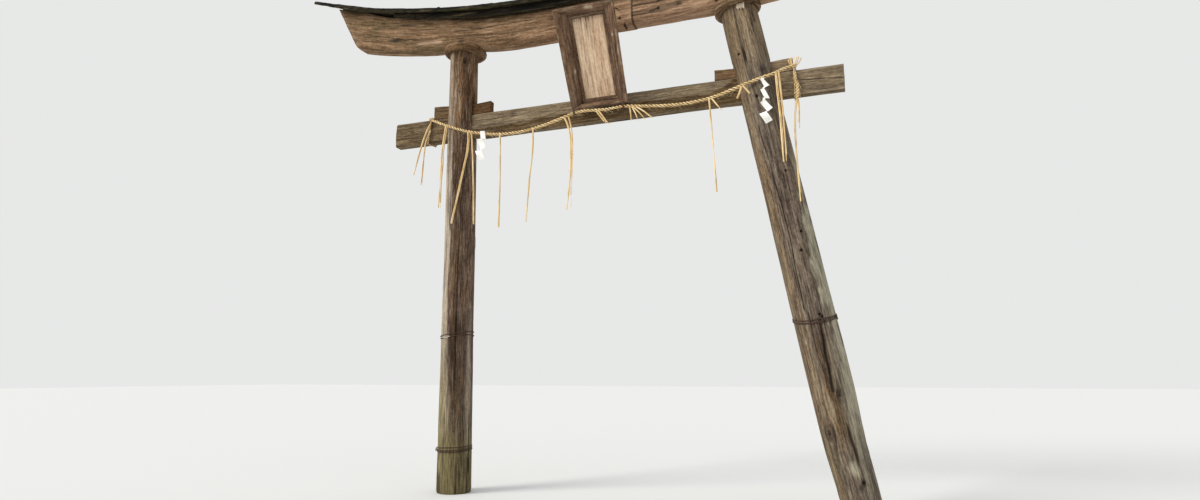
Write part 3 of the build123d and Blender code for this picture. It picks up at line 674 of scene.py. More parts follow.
def papers(name, stem, leaves, seed):
    """One zigzag of folded paper, from corners in x and z in millimetres: each leaf is a little curled sheet,
    joined at a corner to the next."""
    r = np.random.default_rng(seed)
    rows, cols, thick, front_y = 14, 12, 0.0004, -0.117
    u, t = np.meshgrid(np.linspace(0, 1, cols), np.linspace(0, 1, rows))
    sheets = [(stem, 0.0)] + [(leaf, (-1) ** k) for k, leaf in enumerate(leaves)]
    for upper, lower in zip(leaves, leaves[1:]):
        a, b = np.array(upper[3]), np.array(lower[1])
        sheets.append(([a + (-9, 5), a + (4, 5), b + (-1, -6), b + (-13, -7)], 0.0))
    parts, area = [], 0.0
    for corners, curl in sheets:
        corners = np.array(corners, float) / 1000
        curl *= r.uniform(0.6, 1.1)
        x, z = ((c[0] * (1 - u) + c[1] * u) * (1 - t) + (c[3] * (1 - u) + c[2] * u) * t for c in corners.T)
        y = front_y + 0.001 * curl - curl * (0.008 * (t - 0.5) ** 2 * 4 - 0.004)
        y -= 0.007 * curl * (u - 0.5) * (t - 0.3)
        front, back = xyz(x, y - thick / 2, z), xyz(x, y + thick / 2, z)
        verts = np.concatenate([front, back[:, ::-1]], 1).reshape(-1, 3)
        faces = [grid_faces(rows, 2 * cols)]
        for end in (0, rows - 1):
            rim = np.arange(2 * cols) + end * 2 * cols
            top, low = rim[:cols], rim[cols:][::-1]
            side = np.stack([top[:-1], top[1:], low[1:], low[:-1]], 1)
            faces.append(side if end else side[:, ::-1])
        parts.append((verts, np.concatenate(faces), verts + r.random(3)))
        d, e = corners[2] - corners[0], corners[3] - corners[1]
        area += abs(d[0] * e[1] - d[1] * e[0]) / 2
    obj = piece(name + "_leaves", merge(parts), paper, name, angle=30)
    area / 0.15


papers("paper_left", [(171, 2166), (203, 2164), (213, 2110), (177, 2118)],
       [[(147, 2116), (189, 2117), (212, 2058), (183, 2047)],
        [(139, 2044), (186, 2039), (211, 1981), (169, 1983)]], 71)
papers("paper_right", [(1886, 2266), (1901, 2269), (1902, 2246), (1884, 2244)],
       [[(1884, 2247), (1902, 2249), (1930, 2209), (1905, 2201)],
        [(1880, 2194), (1900, 2198), (1928, 2138), (1901, 2140)],
        [(1877, 2118), (1902, 2135), (1942, 2081), (1914, 2064)],
        [(1869, 2058), (1906, 2068), (1938, 2015), (1903, 1997)]], 72)


# Timber

TABLET = np.array([0.952, -0.092, 2.228])  # the middle of the tablet's lower front edge


def arched(x, low, level, radius):
    """The height of an edge that is level about the gate's middle and curves up in an arc beyond."""
    past = np.maximum(0, np.abs(x - MIDDLE) - level)
    return low + radius - np.sqrt(radius ** 2 - past ** 2)


def underside(x):
    """The lintel's lower edge: it hangs a little below its even curve, except over the left post."""
    sag = 0.021 - 0.018 * bell(x + 0.05, 0.27) - 0.007 * bell(x + 0.45, 0.2)
    return arched(x, 2.765, 0.562, 4.6) - sag


def ridge(x):
    """The even curve that the lintel's top follows over most of its length."""
    return arched(x, 2.941, 0.300, 4.7)


def roof_line(x):
    """The middle of the upper boards' underside, in a flatter curve than the lintel's ridge."""
    return arched(x, 2.985, 0.200, 6.1)


def crest(x):
    """The lintel's top, which meets the upper boards at its ends."""
    return ridge(x) + (roof_line(x) - ridge(x) - 0.0008) * smooth(np.abs(x - MIDDLE), 1.55, 1.85)


def roof_up(x):
    """The direction square to the roof line, in x and z."""
    return unit(np.array([-(roof_line(x + 0.001) - roof_line(x - 0.001)) / 0.002, 1.0]))


def dense(low, high, count, places, weight=5.0):
    """Numbers from low to high, closer together near some places."""
    fine = np.linspace(low, high, 6000)
    density = np.ones(6000) + sum(weight * bell(fine - p, 0.012) for p in places)
    total = np.concatenate([[0], np.cumsum((density[1:] + density[:-1]) / 2)])
    return np.interp(np.linspace(0, total[-1], count), total, fine)


def post_axis(side, z):
    return FEET[side][0] + math.tan(LEANS[side]) * z


def post_radius(side, s):
    _, foot, head = FEET[side]
    return foot + (head - foot) * s / (HEAD_Z / math.cos(LEANS[side]))


def on_post(side, s, phi, out=0.0):
    """The point of a post's surface at s along its axis and an angle from its +X side."""
    lean, r = LEANS[side], post_radius(side, s) + out
    x = FEET[side][0] + s * math.sin(lean) + r * np.cos(phi) * math.cos(lean)
    return xyz(x, r * np.sin(phi), s * math.cos(lean) - r * np.cos(phi) * math.sin(lean))


def marked(side, *places):
    """Points of a post's surface, given in millimetres and degrees."""
    return [on_post(side, s / 1000, math.radians(a)) for s, a in places]


def post(side, material, seed, holes, knots, cracks, pales, stains):
    """A round post. Places on it are in millimetres along its axis and degrees round it. After them come
    a knot's size, a crack's width, depth and darkness, a pale streak's width and strength, and a stain's
    length, width and changes of pale, dark and warm."""
    lean, cols = LEANS[side], 236
    s_top = underside(FEET[side][0] + 2.75 * math.sin(lean)) / math.cos(lean)
    rows = dense(0, s_top, 310, [s / 1000 for s, _ in holes] + [1.02])
    s, a = np.meshgrid(rows, angles(cols) - math.pi, indexing="ij")
    low = post_radius(side, 0) * np.cos(a) * math.tan(lean)
    high = s_top + 0 * a
    for _ in range(4):
        p = on_post(side, high, a)
        high = high + (underside(p[..., 0]) - 0.0006 - p[..., 2]) / math.cos(lean)
    blend = 0.3  # the length over which the slanting ends pass into level rings
    s = s + low * np.clip(1 - s / blend, 0, 1)
    s = s + (high - s_top) * np.clip(1 - (s_top - rows[:, None]) / blend, 0, 1)
    s, a = s.ravel(), a.ravel()
    p, r, degrees = on_post(side, s, a), post_radius(side, s), np.degrees(a)
    x, y, z = p.T
    # grain coordinates, bent round the knots
    bent = a.copy()
    for ks, ka, size in knots:
        off = wrap(a - math.radians(ka)) * r
        push = np.tanh(off / (0.5 * size)) * np.exp(-np.abs(off) / (2.6 * size))
        bent -= size * bell(s - ks / 1000, 3.2 * size) * push / r
    sway = 0.05 * waver(s * 2.2, seed, seed)
    grain = xyz(s, r * np.cos(bent + sway), r * np.sin(bent + sway))
    furrows = fbm(grain, (3.0, 70), seed + 9)
    out = 0.0018 * fbm(xyz(s * 2.0, r * np.cos(a) * 9, r * np.sin(a) * 9), 1, seed, 3)
    out += 0.0011 * furrows - 0.0012 * np.maximum(0, furrows - 0.35)
    pale, dark, green = 0 * s, 0.5 * smooth(furrows, 0.55, 1.0), 0 * s
    for ks, ka, size in knots:
        d = np.linalg.norm((p - marked(side, (ks, ka))[0]) * (1, 1, 0.62), axis=1) / size
        out += 0.0024 * bell(d - 1, 0.35) - 0.0022 * bell(d, 0.55) + 0.0006 * np.sin(d * 16) * bell(d, 1.5)
        dark += 0.62 * bell(d, 0.6) + 0.35 * bell(d - 1.15, 0.22)
        dark += 0.22 * np.maximum(0, np.sin(d * 15)) * bell(d, 1.4)
    for hole in holes:
        d = np.linalg.norm(p - marked(side, hole)[0], axis=1)
        out -= 0.010 * bell(d, 0.0062, 4)
        dark += 1.2 * bell(d, 0.0068, 4) + 0.3 * bell(d, 0.014)
    wavy = p + xyz(0.004 * noise(xyz(s * 14, 0, 5), seed + 3), 0, 0)
    for line, width, depth, strength in cracks:
        d = to_line(wavy, marked(side, *line))
        out -= depth * bell(d, width)
        dark += strength * bell(d, width * 0.8)
    for line, width, strength in pales:
        streaks = 0.6 + 0.4 * fbm(grain, (8, 160), seed + 5, 1)
        pale += strength * bell(to_line(p, marked(side, *line)), width) * streaks
    # small drying checks all round, and hollows of rot towards the foot
    checks = patches(grain, (2.4, 46), seed + 20, 0.62, 0.8, 2) * patches(grain, 5, seed + 30, -0.1, 0.4, 2)
    rot, hollow = smooth(0.62 - s, 0, 0.5), fbm(grain, (7, 20), seed + 40)
    out -= 0.0022 * checks + (0.0030 if side == "left" else 0.005) * rot * smooth(hollow, 0.1, 0.8)
    dark += 0.7 * checks + 0.35 * rot * smooth(hollow, 0.2, 0.9)
    # the mortises: the post's wood stands a little back from the beam and wedges
    half = beam_depth(x) / 2
    in_beam = np.maximum(np.abs(y) - BEAM_HALF, np.abs(z - BEAM_Z) - half)
    in_wedge = np.maximum(np.abs(y) - WEDGE_HALF, np.maximum(z - BEAM_Z - half - 0.08, BEAM_Z + half - z))
    gap = np.minimum(in_beam, in_wedge)
    out -= 0.003 * bell(gap, 0.006)
    dark += 0.8 * bell(gap, 0.004)
    if side == "right":
        # rotted away at both sides of the foot
        for shift, at, worn in ((0.35, (0, 0.15, 0.35, 0.6, 0.8), (0.010, 0.011, 0.015, 0.004, 0)),
                                (2.8, (0, 0.15, 0.32, 0.48), (0.022, 0.018, 0.004, 0))):
            out -= np.interp(s, at, worn) * np.maximum(0, np.cos(a + shift)) ** 1.5
    # the foot's worn edge
    out -= 0.005 * bell(z, 0.008)
    # painted light down the left post's left side, and damp and overgrown sides, with ragged borders along
    # the grain
    ragged, blotchy = fbm(grain, (4.5, 50), seed + 50, 3), fbm(grain, (13, 42), seed + 53, 3)
    if side == "left":
        # painted light down the side that faces the light; the same side is greener below, with lichen
        lit_side = smooth(27 + 13 * ragged - np.degrees(np.abs(wrap(a + math.radians(126)))), -7, 7)
        centre = bell(degrees + 72 + 9 * ragged, 19) * smooth(s, 0.6, 0.95) * smooth(2.35 - s, 0, 0.3)
        pale += lit_side * np.interp(s, (0, 0.6, 1.0, 1.9, 2.15, 2.5), (0.20, 0.42, 0.66, 0.80, 0.40, 0.32))
        dark += 0.34 * centre
        dark += 0.16 * smooth(1.0 - s, 0, 0.5) * smooth(degrees, -100, -70) * smooth(-degrees, -40, 60)
        dark += 0.25 * bell(degrees + 62 + 8 * ragged, 16) * bell(s - 0.74, 0.16)
        dark += 0.30 * smooth(0.27 - s, 0, 0.03) * (0.8 + 0.4 * blotchy)
        dark += 0.16 * smooth(degrees, -100, -80) * smooth(1.25 - s, 0, 0.3) * smooth(s, 0.3, 0.5)
        green += 0.34 * lit_side * smooth(1.25 - s, 0, 0.4)
        growth = np.interp(s, (0, 0.24, 0.35, 0.6, 0.95), (0.90, 0.80, 0.42, 0.26, 0.0))
        green += growth * (0.9 + 0.3 * ragged)
        warm = 0.30 + 0.4 * centre + 0.55 * smooth(s, 2.15, 2.45) + 0.25 * blotchy
    else:
        border = np.interp(s, (0.2, 0.9, 0.98, 1.25, 1.6, 1.9), (-38, -46, -76, -66, -44, -36))
        lichen = smooth(degrees + 9 * blotchy, border - 6, border + 12) * smooth(75 - degrees, 0, 15)
        lichen *= smooth(s, 0.15, 0.6) * smooth(2.0 - s, 0, 0.3)
        behind = smooth(-degrees, 105, 125)
        pale += lichen * smooth(blotchy, -1.0, 0.1) + 0.12 * smooth(s, 1.7, 2.1)
        pale += 0.16 * smooth(degrees, -92, -75) * smooth(0.9 - s, 0, 0.1)
        pale += 0.16 * smooth(-degrees, 92, 104) * smooth(1.7 - s, 0, 0.3) * smooth(ragged, -0.5, 0.3)
        dark += 0.26 * smooth(s, 2.2, 2.45) * smooth(-degrees, 86, 106)
        dark += 0.10 * smooth(1.75 - s, 0, 0.3) * (1 - lichen) + 0.10 * smooth(-degrees, 112, 135)
        green += 0.12 * smooth(0.5 - s, 0, 0.5) + 0.22 * behind * smooth(2.2 - s, 0, 0.2)
        warm = 0.15 + 0.40 * behind + 0.15 * ragged + 0.5 * smooth(s, 2.2, 2.6)
    for (at, turned), (long, wide), (to_pale, to_dark, to_warm) in stains:
        d = ((s - at / 1000) / long) ** 2 + (wrap(a - math.radians(turned)) * r / wide) ** 2
        share = np.exp(-d ** 1.5) * (0.85 + 0.35 * ragged)
        pale, dark, warm = pale + to_pale * share, dark + to_dark * share, warm + to_warm * share
    marks = np.clip(xyz(pale, dark, green, warm), 0, 1)
    p = on_post(side, s, a, out)
    p[:, 2] = np.maximum(p[:, 2], 0)
    foot = shrunk(p[:cols], (0.01, 0.35, 0.7, 0.93))
    closed = (np.concatenate([*foot, p]), grid_faces(len(rows) + len(foot), cols),
              np.concatenate([*(3 * ring for ring in foot), grain]))
    piece(side + "_post_log", closed, material, side + "_post",
          np.concatenate([marks[:cols]] * len(foot) + [marks]))


post("left", left_wood, 100, holes=[],
     knots=[(2665, -56, 0.016), (2459, -73.2, 0.012), (1500, 40, 0.02), (2120, 120, 0.022), (900, 160, 0.02),
            (1210, -150, 0.012)],
     cracks=[([(1942, -53.4), (1558, -59.1), (1371, -63.6), (1186, -64.4), (885, -63.3), (650, -63.2)],
              0.0035, 0.0030, 0.7),
             ([(480, -17), (300, -13.6), (130, -8)], 0.0016, 0.002, 0.6),
             ([(200, -6), (129, -3), (60, 1)], 0.0045, 0.008, 1.6),
             ([(2050, 95), (1500, 100), (1050, 92)], 0.0035, 0.008, 1.0),
             ([(2250, -120), (1900, -117), (1650, -121)], 0.0016, 0.002, 0.6),
             ([(1500, -30), (1200, -27), (760, -31)], 0.0018, 0.0025, 0.6),
             ([(2560, 20), (2000, 24), (1700, 18)], 0.0025, 0.004, 0.8)],
     pales=[([(2080, -146), (1700, -143), (1300, -146)], 0.010, 0.5)],
     stains=[((2665, -56), (0.022, 0.014), (0, 0.6, 0.3)), ((780, -72), (0.16, 0.020), (-0.1, 0.26, 0.4)),
             ((600, -60), (0.13, 0.014), (-0.2, 0.30, 0.5)), ((560, -12), (0.42, 0.026), (0.50, -0.25, -0.2)),
             ((420, -95), (0.25, 0.028), (0.22, -0.1, -0.2))])
post("right", right_wood, 200,
     holes=[(2478, -119.3), (2204, -94.7), (1760, -65.2), (1424, -65.2), (1326, -77.4), (989, -72),
            (976, -66), (172, -65.4)],
     knots=[(420, -123.8, 0.020), (588, -72.3, 0.014), (1300, 60, 0.025), (2000, 140, 0.022),
            (800, 110, 0.024)],
     cracks=[([(2044, -111.1), (1839, -108.2), (1637, -101.2), (1488, -100.2), (1311, -103.2), (1128, -107.5),
               (1026, -110)], 0.0020, 0.007, 1.5),
             ([(945, -76), (825, -80), (724, -83), (610, -86)], 0.0090, 0.008, 0.75),
             ([(905, -79), (790, -81.5), (690, -84)], 0.0022, 0.004, 0.6),
             ([(1011, -100.6), (820, -104), (743, -98.1), (596, -96.6), (497, -89.2)], 0.0024, 0.004, 0.6),
             ([(2300, -75), (1950, -78), (1700, -72)], 0.0016, 0.0020, 0.55),
             ([(1250, -60), (900, -66), (600, -58), (300, -62)], 0.0018, 0.0025, 0.6),
             ([(2100, 90), (1500, 84), (800, 95)], 0.004, 0.009, 1.1)],
     pales=[([(2708, -68), (2566, -76.5), (2443, -79.5)], 0.003, 1.0),
            ([(2759, -84), (2719, -63)], 0.006, 0.8)],
     stains=[((2358, -58.9), (0.035, 0.022), (0, 0.5, -0.1)),
             ((869, -127.1), (0.009, 0.006), (1.3, -0.4, 0.3)),
             ((540, -104), (0.085, 0.024), (0.45, -0.75, 1.4)),
             ((760, -84), (0.20, 0.026), (-0.1, 0.32, 0.8)),
             ((690, -125), (0.16, 0.016), (0.25, -0.2, 0.2)), ((480, -50), (0.30, 0.016), (0.5, -0.1, -0.4)),
             ((420, -123.8), (0.030, 0.020), (0, 0.25, 0.2)), ((840, -80), (0.120, 0.009), (0, 0.35, 0.2)),
             ((385, -72), (0.070, 0.010), (0, 0.8, 0.9)), ((300, -67), (0.060, 0.009), (0, 0.8, 0.9)),
             ((470, -85), (0.100, 0.030), (0.0, 0.26, 0.7)), ((640, -60), (0.25, 0.05), (0.12, 0, -0.3)),
             ((700, -98), (0.20, 0.018), (-0.1, 0.22, 0.5)), ((560, -82), (0.10, 0.016), (-0.1, 0.25, 0.7)),
             ((390, -100), (0.10, 0.030), (-0.1, 0.18, 0.3)),
             ((350, -55), (0.20, 0.030), (0.15, -0.05, -0.3)),
             ((1509, -57), (0.020, 0.016), (0, 0.1, 0.2)), ((240, -83), (0.030, 0.020), (1.0, -0.5, 0.0)),
             ((216, -74), (0.018, 0.010), (0.4, -0.3, 1.0)), ((172, -66), (0.022, 0.014), (0, 0.8, 0)),
             ((150, -77), (0.020, 0.014), (0, 0.7, 0)), ((2700, -66), (0.060, 0.025), (0, 0, 0.8))])


def softened(a, b, c, radius, steps):
    """Points round the corner at b, between a and c."""
    return [b + unit(a - b) * radius * (1 - t) ** 2 + unit(c - b) * radius * t ** 2
            for t in np.arange(steps + 1) / steps]


def section(outline, count, radius=0.0, steps=2):
    """Points evenly spaced round a closed outline whose corners may be rounded, starting at the first one."""
    points = np.array(outline, float)
    if radius:
        corners = zip(np.roll(points, 1, 0), points, np.roll(points, -1, 0))
        points = np.array([p for corner in corners for p in softened(*corner, radius, steps)])
    points = np.concatenate([points, points[:1]])
    along = distances(points)
    return read_at(points, along, np.arange(count) / count * along[-1])


def block(half, low, high):
    return [(-half, low), (half, low), (half, high), (-half, high)]


def sawn(places, outline, count, radius, steps=2):
    """Rings along x, from the outline in y and z at each place."""
    return [xyz(x, *section(outline(x), count, radius, steps).T) for x in places]


def timber(node, form, rings, material, seed, along=0, cap=7, furrow=0.0009, warm=0.3, wavy=0.0012,
           pattern=(2.5, 80), paint=None, shape=None, knots=(), cracks=(), checks=0.6, end_crack=0.0025,
           angle=50, axes=None, curve=None):
    """A sawn or hewn timber from its rings, with grain, furrows, checks, knots and cracked ends."""
    shares = [*(k / cap for k in range(cap - 1, 0, -1)), 0.01]
    first, last = (shrunk(rings[k], shares) for k in (0, -1))
    p, quads = skin([*first[::-1], *rings, *last])
    ends = np.zeros((len(rings) + 2 * cap, len(rings[0])))
    ends[:cap] = ends[-cap:] = 1
    ends = ends.ravel()
    order = [along] + [k for k in range(3) if k != along]
    grain = p[:, order] if axes is None else (p - TABLET) @ np.array(axes).T
    if curve:
        grain[:, 2] -= curve(p[:, 0])
    for centre, size in knots:
        d = p - centre
        d[:, along] *= 0.3
        away = np.linalg.norm(d, axis=1)
        grain[:, 1:] -= unit(np.delete(d, along, 1)) * (size * bell(away, 1.4 * size))[:, None]
    sway = 0.006 * waver(grain[:, 0] * 1.6, seed + 1, seed)
    grain[:, 1] += sway
    grain[:, 2] += sway * 0.6
    grain = grain + (seed * 1.37, seed * 0.71, 0)
    n = normals(p, quads)
    furrows = fbm(grain, pattern, seed + 2)
    split = patches(grain, (pattern[0] * 0.9, pattern[1] * 0.55), seed + 3, 0.62, 0.82, 2)
    split *= patches(grain, (4, 9), seed + 4, -0.1, 0.4, 2) * (1 - ends)
    rays = np.abs(fbm(p, 45, seed + 6, 3))
    out = fbm(p, 5, seed, 3) * wavy + furrow * furrows * (1 - ends) - 0.002 * checks * split
    out -= ends * end_crack * (1 - smooth(rays, 0.0, 0.12))
    dark = 0.75 * checks * split + 0.4 * smooth(furrows, 0.6, 1.0) * (1 - ends)
    dark += ends * 0.75 * (1 - smooth(rays, 0.0, 0.10))
    for centre, size in knots:
        d = p - centre
        d[:, along] *= 0.7
        d = np.linalg.norm(d, axis=1) / size
        out += 0.0012 * bell(d - 1, 0.3) - 0.0012 * bell(d, 0.5)
        dark += 0.85 * bell(d, 0.62) + 0.4 * bell(d - 1.2, 0.2)
    bent = p + xyz(0, 0, 0.002 * waver(p[:, along] * 22, seed + 8))
    for line, width, depth, strength in cracks:
        d = to_line(bent, line)
        out -= depth * bell(d, width)
        dark += strength * bell(d, width * 0.85)
    marks = np.array([0 * dark, dark, 0 * dark, warm + 0.18 * fbm(grain, (2.2, 12), seed + 9, 1)])
    if paint:
        paint(p, n, grain, *marks)
    if shape:
        out = out + shape(p, n)
    solid = (p + n * out[:, None], quads, grain)
    return piece("%s_%s" % (node, form), solid, material, node, np.clip(marks.T, 0, 1), angle)


# Tie beam: hewn, with a faint ridge along its front face

def beam_outline(x):
    low, high = BEAM_Z - beam_depth(x) / 2, BEAM_Z + beam_depth(x) / 2
    return [(-BEAM_HALF, low + 0.004), (-0.026, low), (0.026, low), (BEAM_HALF, low + 0.004),
            (BEAM_HALF, high - 0.013), (0.017, high), (-0.017, high), (-BEAM_HALF, high - 0.013)]


def facet(p):
    """Height above the line where the hewn lower facet of the front face meets the upper one."""
    line = np.interp(p[:, 0], (-0.5, 0.15, 0.5, 0.8, 1.17, 1.58, 1.665, 1.73, 1.8, 1.95, 2.3),
                     (2.235, 2.218, 2.232, 2.247, 2.253, 2.243, 2.270, 2.312, 2.318, 2.25, 2.24))
    return p[:, 2] - line + 0.003 * waver(p[:, 0] * 9, 6)


def beam_shape(p, n):
    return smooth(-n[:, 1], 0.5, 0.9) * 0.004 * np.maximum(0, 1 - np.abs(facet(p)) / 0.06)


def beam_paint(p, n, grain, pale, dark, green, warm):
    x, front = p[:, 0], smooth(-n[:, 1], 0.5, 0.9)
    # the front face's lower facet is browner, and darker partly by painted shade as it faces down; its upper
    # facet is paler, partly bleached and partly by painted light from the sky
    low = front * smooth(-facet(p), -0.003, 0.007) * smooth(x, -0.1, 0.25) * smooth(2.0 - x, 0, 0.15)
    warm += -0.15 + 1.0 * low + 0.35 * front * smooth(0.05 - x, 0, 0.2)
    dark += 0.26 * low
    # paler towards the right end of the front face, and on the top face by painted light from above
    pale += 0.22 * front * smooth(x, 1.95, 2.05) + 0.30 * smooth(n[:, 2], 0.5, 0.9)
    pale += 0.16 * front * (1 - low) * smooth(1.9 - x, 0, 0.2) * smooth(x, -0.2, 0.1)
    pale += 0.45 * bell(to_line(p, [(-0.5, -0.03, 2.325), (-0.294, -0.03, 2.323)]), 0.008)
    pale += 0.6 * bell(to_line(p, [(2.078, -0.03, 2.1735), (2.30, -0.03, 2.1735)]), 0.005)


beam_rings = sawn(dense(*BEAM_ENDS, 370, []), beam_outline, 112, 0.002)
timber("tie_beam", "timber", beam_rings, beam_wood, 300, paint=beam_paint, shape=beam_shape,
       cracks=[([(2.083, -0.03, 2.252), (2.15, -0.03, 2.247), (2.303, -0.03, 2.236)], 0.0028, 0.006, 1.0),
               ([(1.05, -0.03, 2.205), (1.45, -0.03, 2.212), (1.72, -0.03, 2.206)], 0.002, 0.003, 0.8),
               ([(0.2, -0.03, 2.27), (0.6, -0.03, 2.276)], 0.002, 0.003, 0.7),
               ([(-0.5, -0.03, 2.21), (-0.33, -0.03, 2.214)], 0.002, 0.003, 0.7),
               ([(0.1, 0.03, 2.25), (0.9, 0.03, 2.262), (1.6, 0.03, 2.24)], 0.003, 0.007, 1.0)],
       knots=[((1.31, -0.03, 2.215), 0.014), ((0.35, -0.03, 2.29), 0.012), ((2.2, -0.03, 2.2), 0.010),
              ((0.5, 0.03, 2.2), 0.016)])

# Wedges: how far each stands above the beam and out of its post, its warm tone, and its pale and dark shares
wedges = (("left_outer", 0.086, 0.108, 0.4, 0.05, 0.12), ("left_inner", 0.074, 0.117, 0.95, 0.0, 0.22),
          ("right_inner", 0.066, 0.116, 0.9, 0.10, 0.05), ("right_outer", 0.076, 0.104, 0.6, 0.35, 0.0))
for i, (name, rise, long, tone, light, shade) in enumerate(wedges):
    side, place = name.split("_")
    towards = -1 if (side == "left") == (place == "outer") else 1
    top = BEAM_Z + beam_depth(post_axis(side, BEAM_Z)) / 2
    axis = post_axis(side, top)
    tip, end = axis + towards * 0.002, axis + towards * (FEET[side][2] + 0.006 + long)

    def wedge_outline(x):
        high = top + rise - 0.014 * (1 - (x - tip) / (end - tip))
        return block(WEDGE_HALF, BEAM_Z + beam_depth(x) / 2 - 0.001, high)

    def wedge_paint(p, n, grain, pale, dark, green, warm):
        face = smooth(-n[:, 1], 0.4, 0.9)
        # the top is paler by painted light from above; the front face gets its own pale and dark shares
        pale += 0.2 * smooth(n[:, 2], 0.4, 0.9) + light * face
        dark += shade * face

    rings = sawn(np.linspace(min(tip, end), max(tip, end), 28), wedge_outline, 56, 0.0025, 3)
    timber("wedge_" + name, "block", rings, wedge_wood, 320 + i, warm=tone, paint=wedge_paint,
           furrow=0.0007, wavy=0.0018)

strut_y, strut_x = section(block(0.028, 0.899, 1.011), 64, 0.003, 3).T
timber("centre_strut", "timber", [xyz(strut_x, strut_y, z) for z in np.linspace(2.322, 2.764, 60)], beam_wood,
       340, along=2, pattern=(2.5, 90), warm=0.5)


# Lintel in its two lengths, with slanting ends

def lintel_ring(low_x, top_x):
    """A slanting cross-section of the lintel, from where it meets the lower edge and the crest."""
    bottom, top = np.array([low_x, underside(low_x)]), np.array([top_x, crest(top_x)])
    way = top - bottom
    deep = np.linalg.norm(way)
    shoulder = deep - 0.0138
    corner = [(-LINTEL_HALF + LINTEL_ROUND * (1 - math.sin(t)), LINTEL_ROUND * (1 - math.cos(t)))
              for t in np.linspace(0, math.pi / 2, 9)]
    outline = [(-0.023, 0.0), *corner, (-LINTEL_HALF, shoulder), (0.0, deep), (LINTEL_HALF, shoulder)]
    across, up = section(outline + [(-y, h) for y, h in corner[::-1]], 150).T
    return xyz(bottom[0] + way[0] * up / deep, across, bottom[1] + way[1] * up / deep)


def round_corner(ring, low_x, top_x):
    """The same ring with its points near the lintel's lower end corner drawn in to a round one."""
    radius = 0.044
    corner = np.array([low_x, underside(low_x)])
    inward = 0.05 if low_x < MIDDLE else -0.05
    up = unit(np.array([top_x, crest(top_x)]) - corner)
    along = unit(np.array([inward, underside(low_x + inward) - corner[1]]))
    half = math.acos(up @ along) / 2
    middle = unit(up + along)
    centre = corner + middle * radius / math.sin(half)
    q = ring[:, ::2] - centre
    d = np.linalg.norm(q, axis=1)
    turned = np.arccos(np.clip(q @ -middle / np.maximum(d, 1e-9), -1, 1))
    near = (turned < math.pi / 2 - half) & (d > radius)
    out = ring.copy()
    out[near, ::2] = centre + q[near] * radius / d[near, None]
    return out


def lintel_piece(side, low_ends, top_ends, count, seed, knots, cracks, holes, dabs, streaks):
    """One length of the lintel. Its nail holes and dabs of colour are placed in x and z; then come a dab's
    size and its changes of pale, dark and green."""
    starts, stops = np.array([low_ends, top_ends]).T
    ways = stops - starts
    far = 0 if side == "left" else 1
    rings = [round_corner(lintel_ring(*(starts + ways * t)), low_ends[far], top_ends[far])
             for t in dense(0, 1, count, [(x - starts[0]) / ways[0] for x, _ in holes], 4.0)]

    def from_hole(p, x, z):
        return np.hypot(p[:, 0] - x, p[:, 2] - z) + (p[:, 1] > 0)

    def paint(p, n, grain, pale, dark, green, warm):
        x, y, z = p.T
        for at_x, at_z in holes:
            rust = to_line(p, [(at_x, -LINTEL_HALF, at_z), (at_x - 0.05, -LINTEL_HALF, at_z - 0.01)])
            dark += 1.3 * bell(from_hole(p, at_x, at_z), 0.008, 4) + 0.45 * bell(rust, 0.005)
        for (at_x, at_z), (long, tall), changes in dabs:
            d = ((x - at_x) / long) ** 2 + ((z - at_z) / tall) ** 2 + 9.0 * (y > 0)
            share = np.exp(-d) * (0.8 + 0.5 * fbm(grain, (9, 120), 14, 1))
            for mark, change in zip((pale, dark, green), changes):
                mark += share * change
        for line, width, strength in streaks:
            pale += strength * bell(to_line(p, line), width) * (0.7 + 0.5 * fbm(grain, (9, 120), 4, 1))
        # painted shade: darker on downward faces, and in a band along the top, under the roof boards
        dark += 0.25 * smooth(-n[:, 2], 0.2, 0.9) + 0.6 * smooth(z - ridge(x) + 0.026, 0, 0.012)
        dark += 0.9 * bell(x - SEAM, 0.0022)
        pale += 0.26 * smooth(x, 0.75, 1.25)
        warm += 0.25 * fbm(grain, (1.1, 6), seed + 30, 1) + 0.5 * smooth(x, 0.3, 1.0)

    def shape(p, n):
        dents = sum(0.009 * bell(from_hole(p, *hole), 0.0070, 4) for hole in holes)
        return 0.0015 * fbm(p, (6, 14), seed + 12, 3) - dents

    timber("lintel_" + side, "timber", rings, lintel_wood, seed, warm=0.55, paint=paint,
           shape=shape, knots=knots, cracks=cracks, pattern=(2.2, 75), wavy=0.002, cap=8, checks=0.8,
           curve=lambda x: 0.6 * underside(x) + 0.4 * ridge(x))


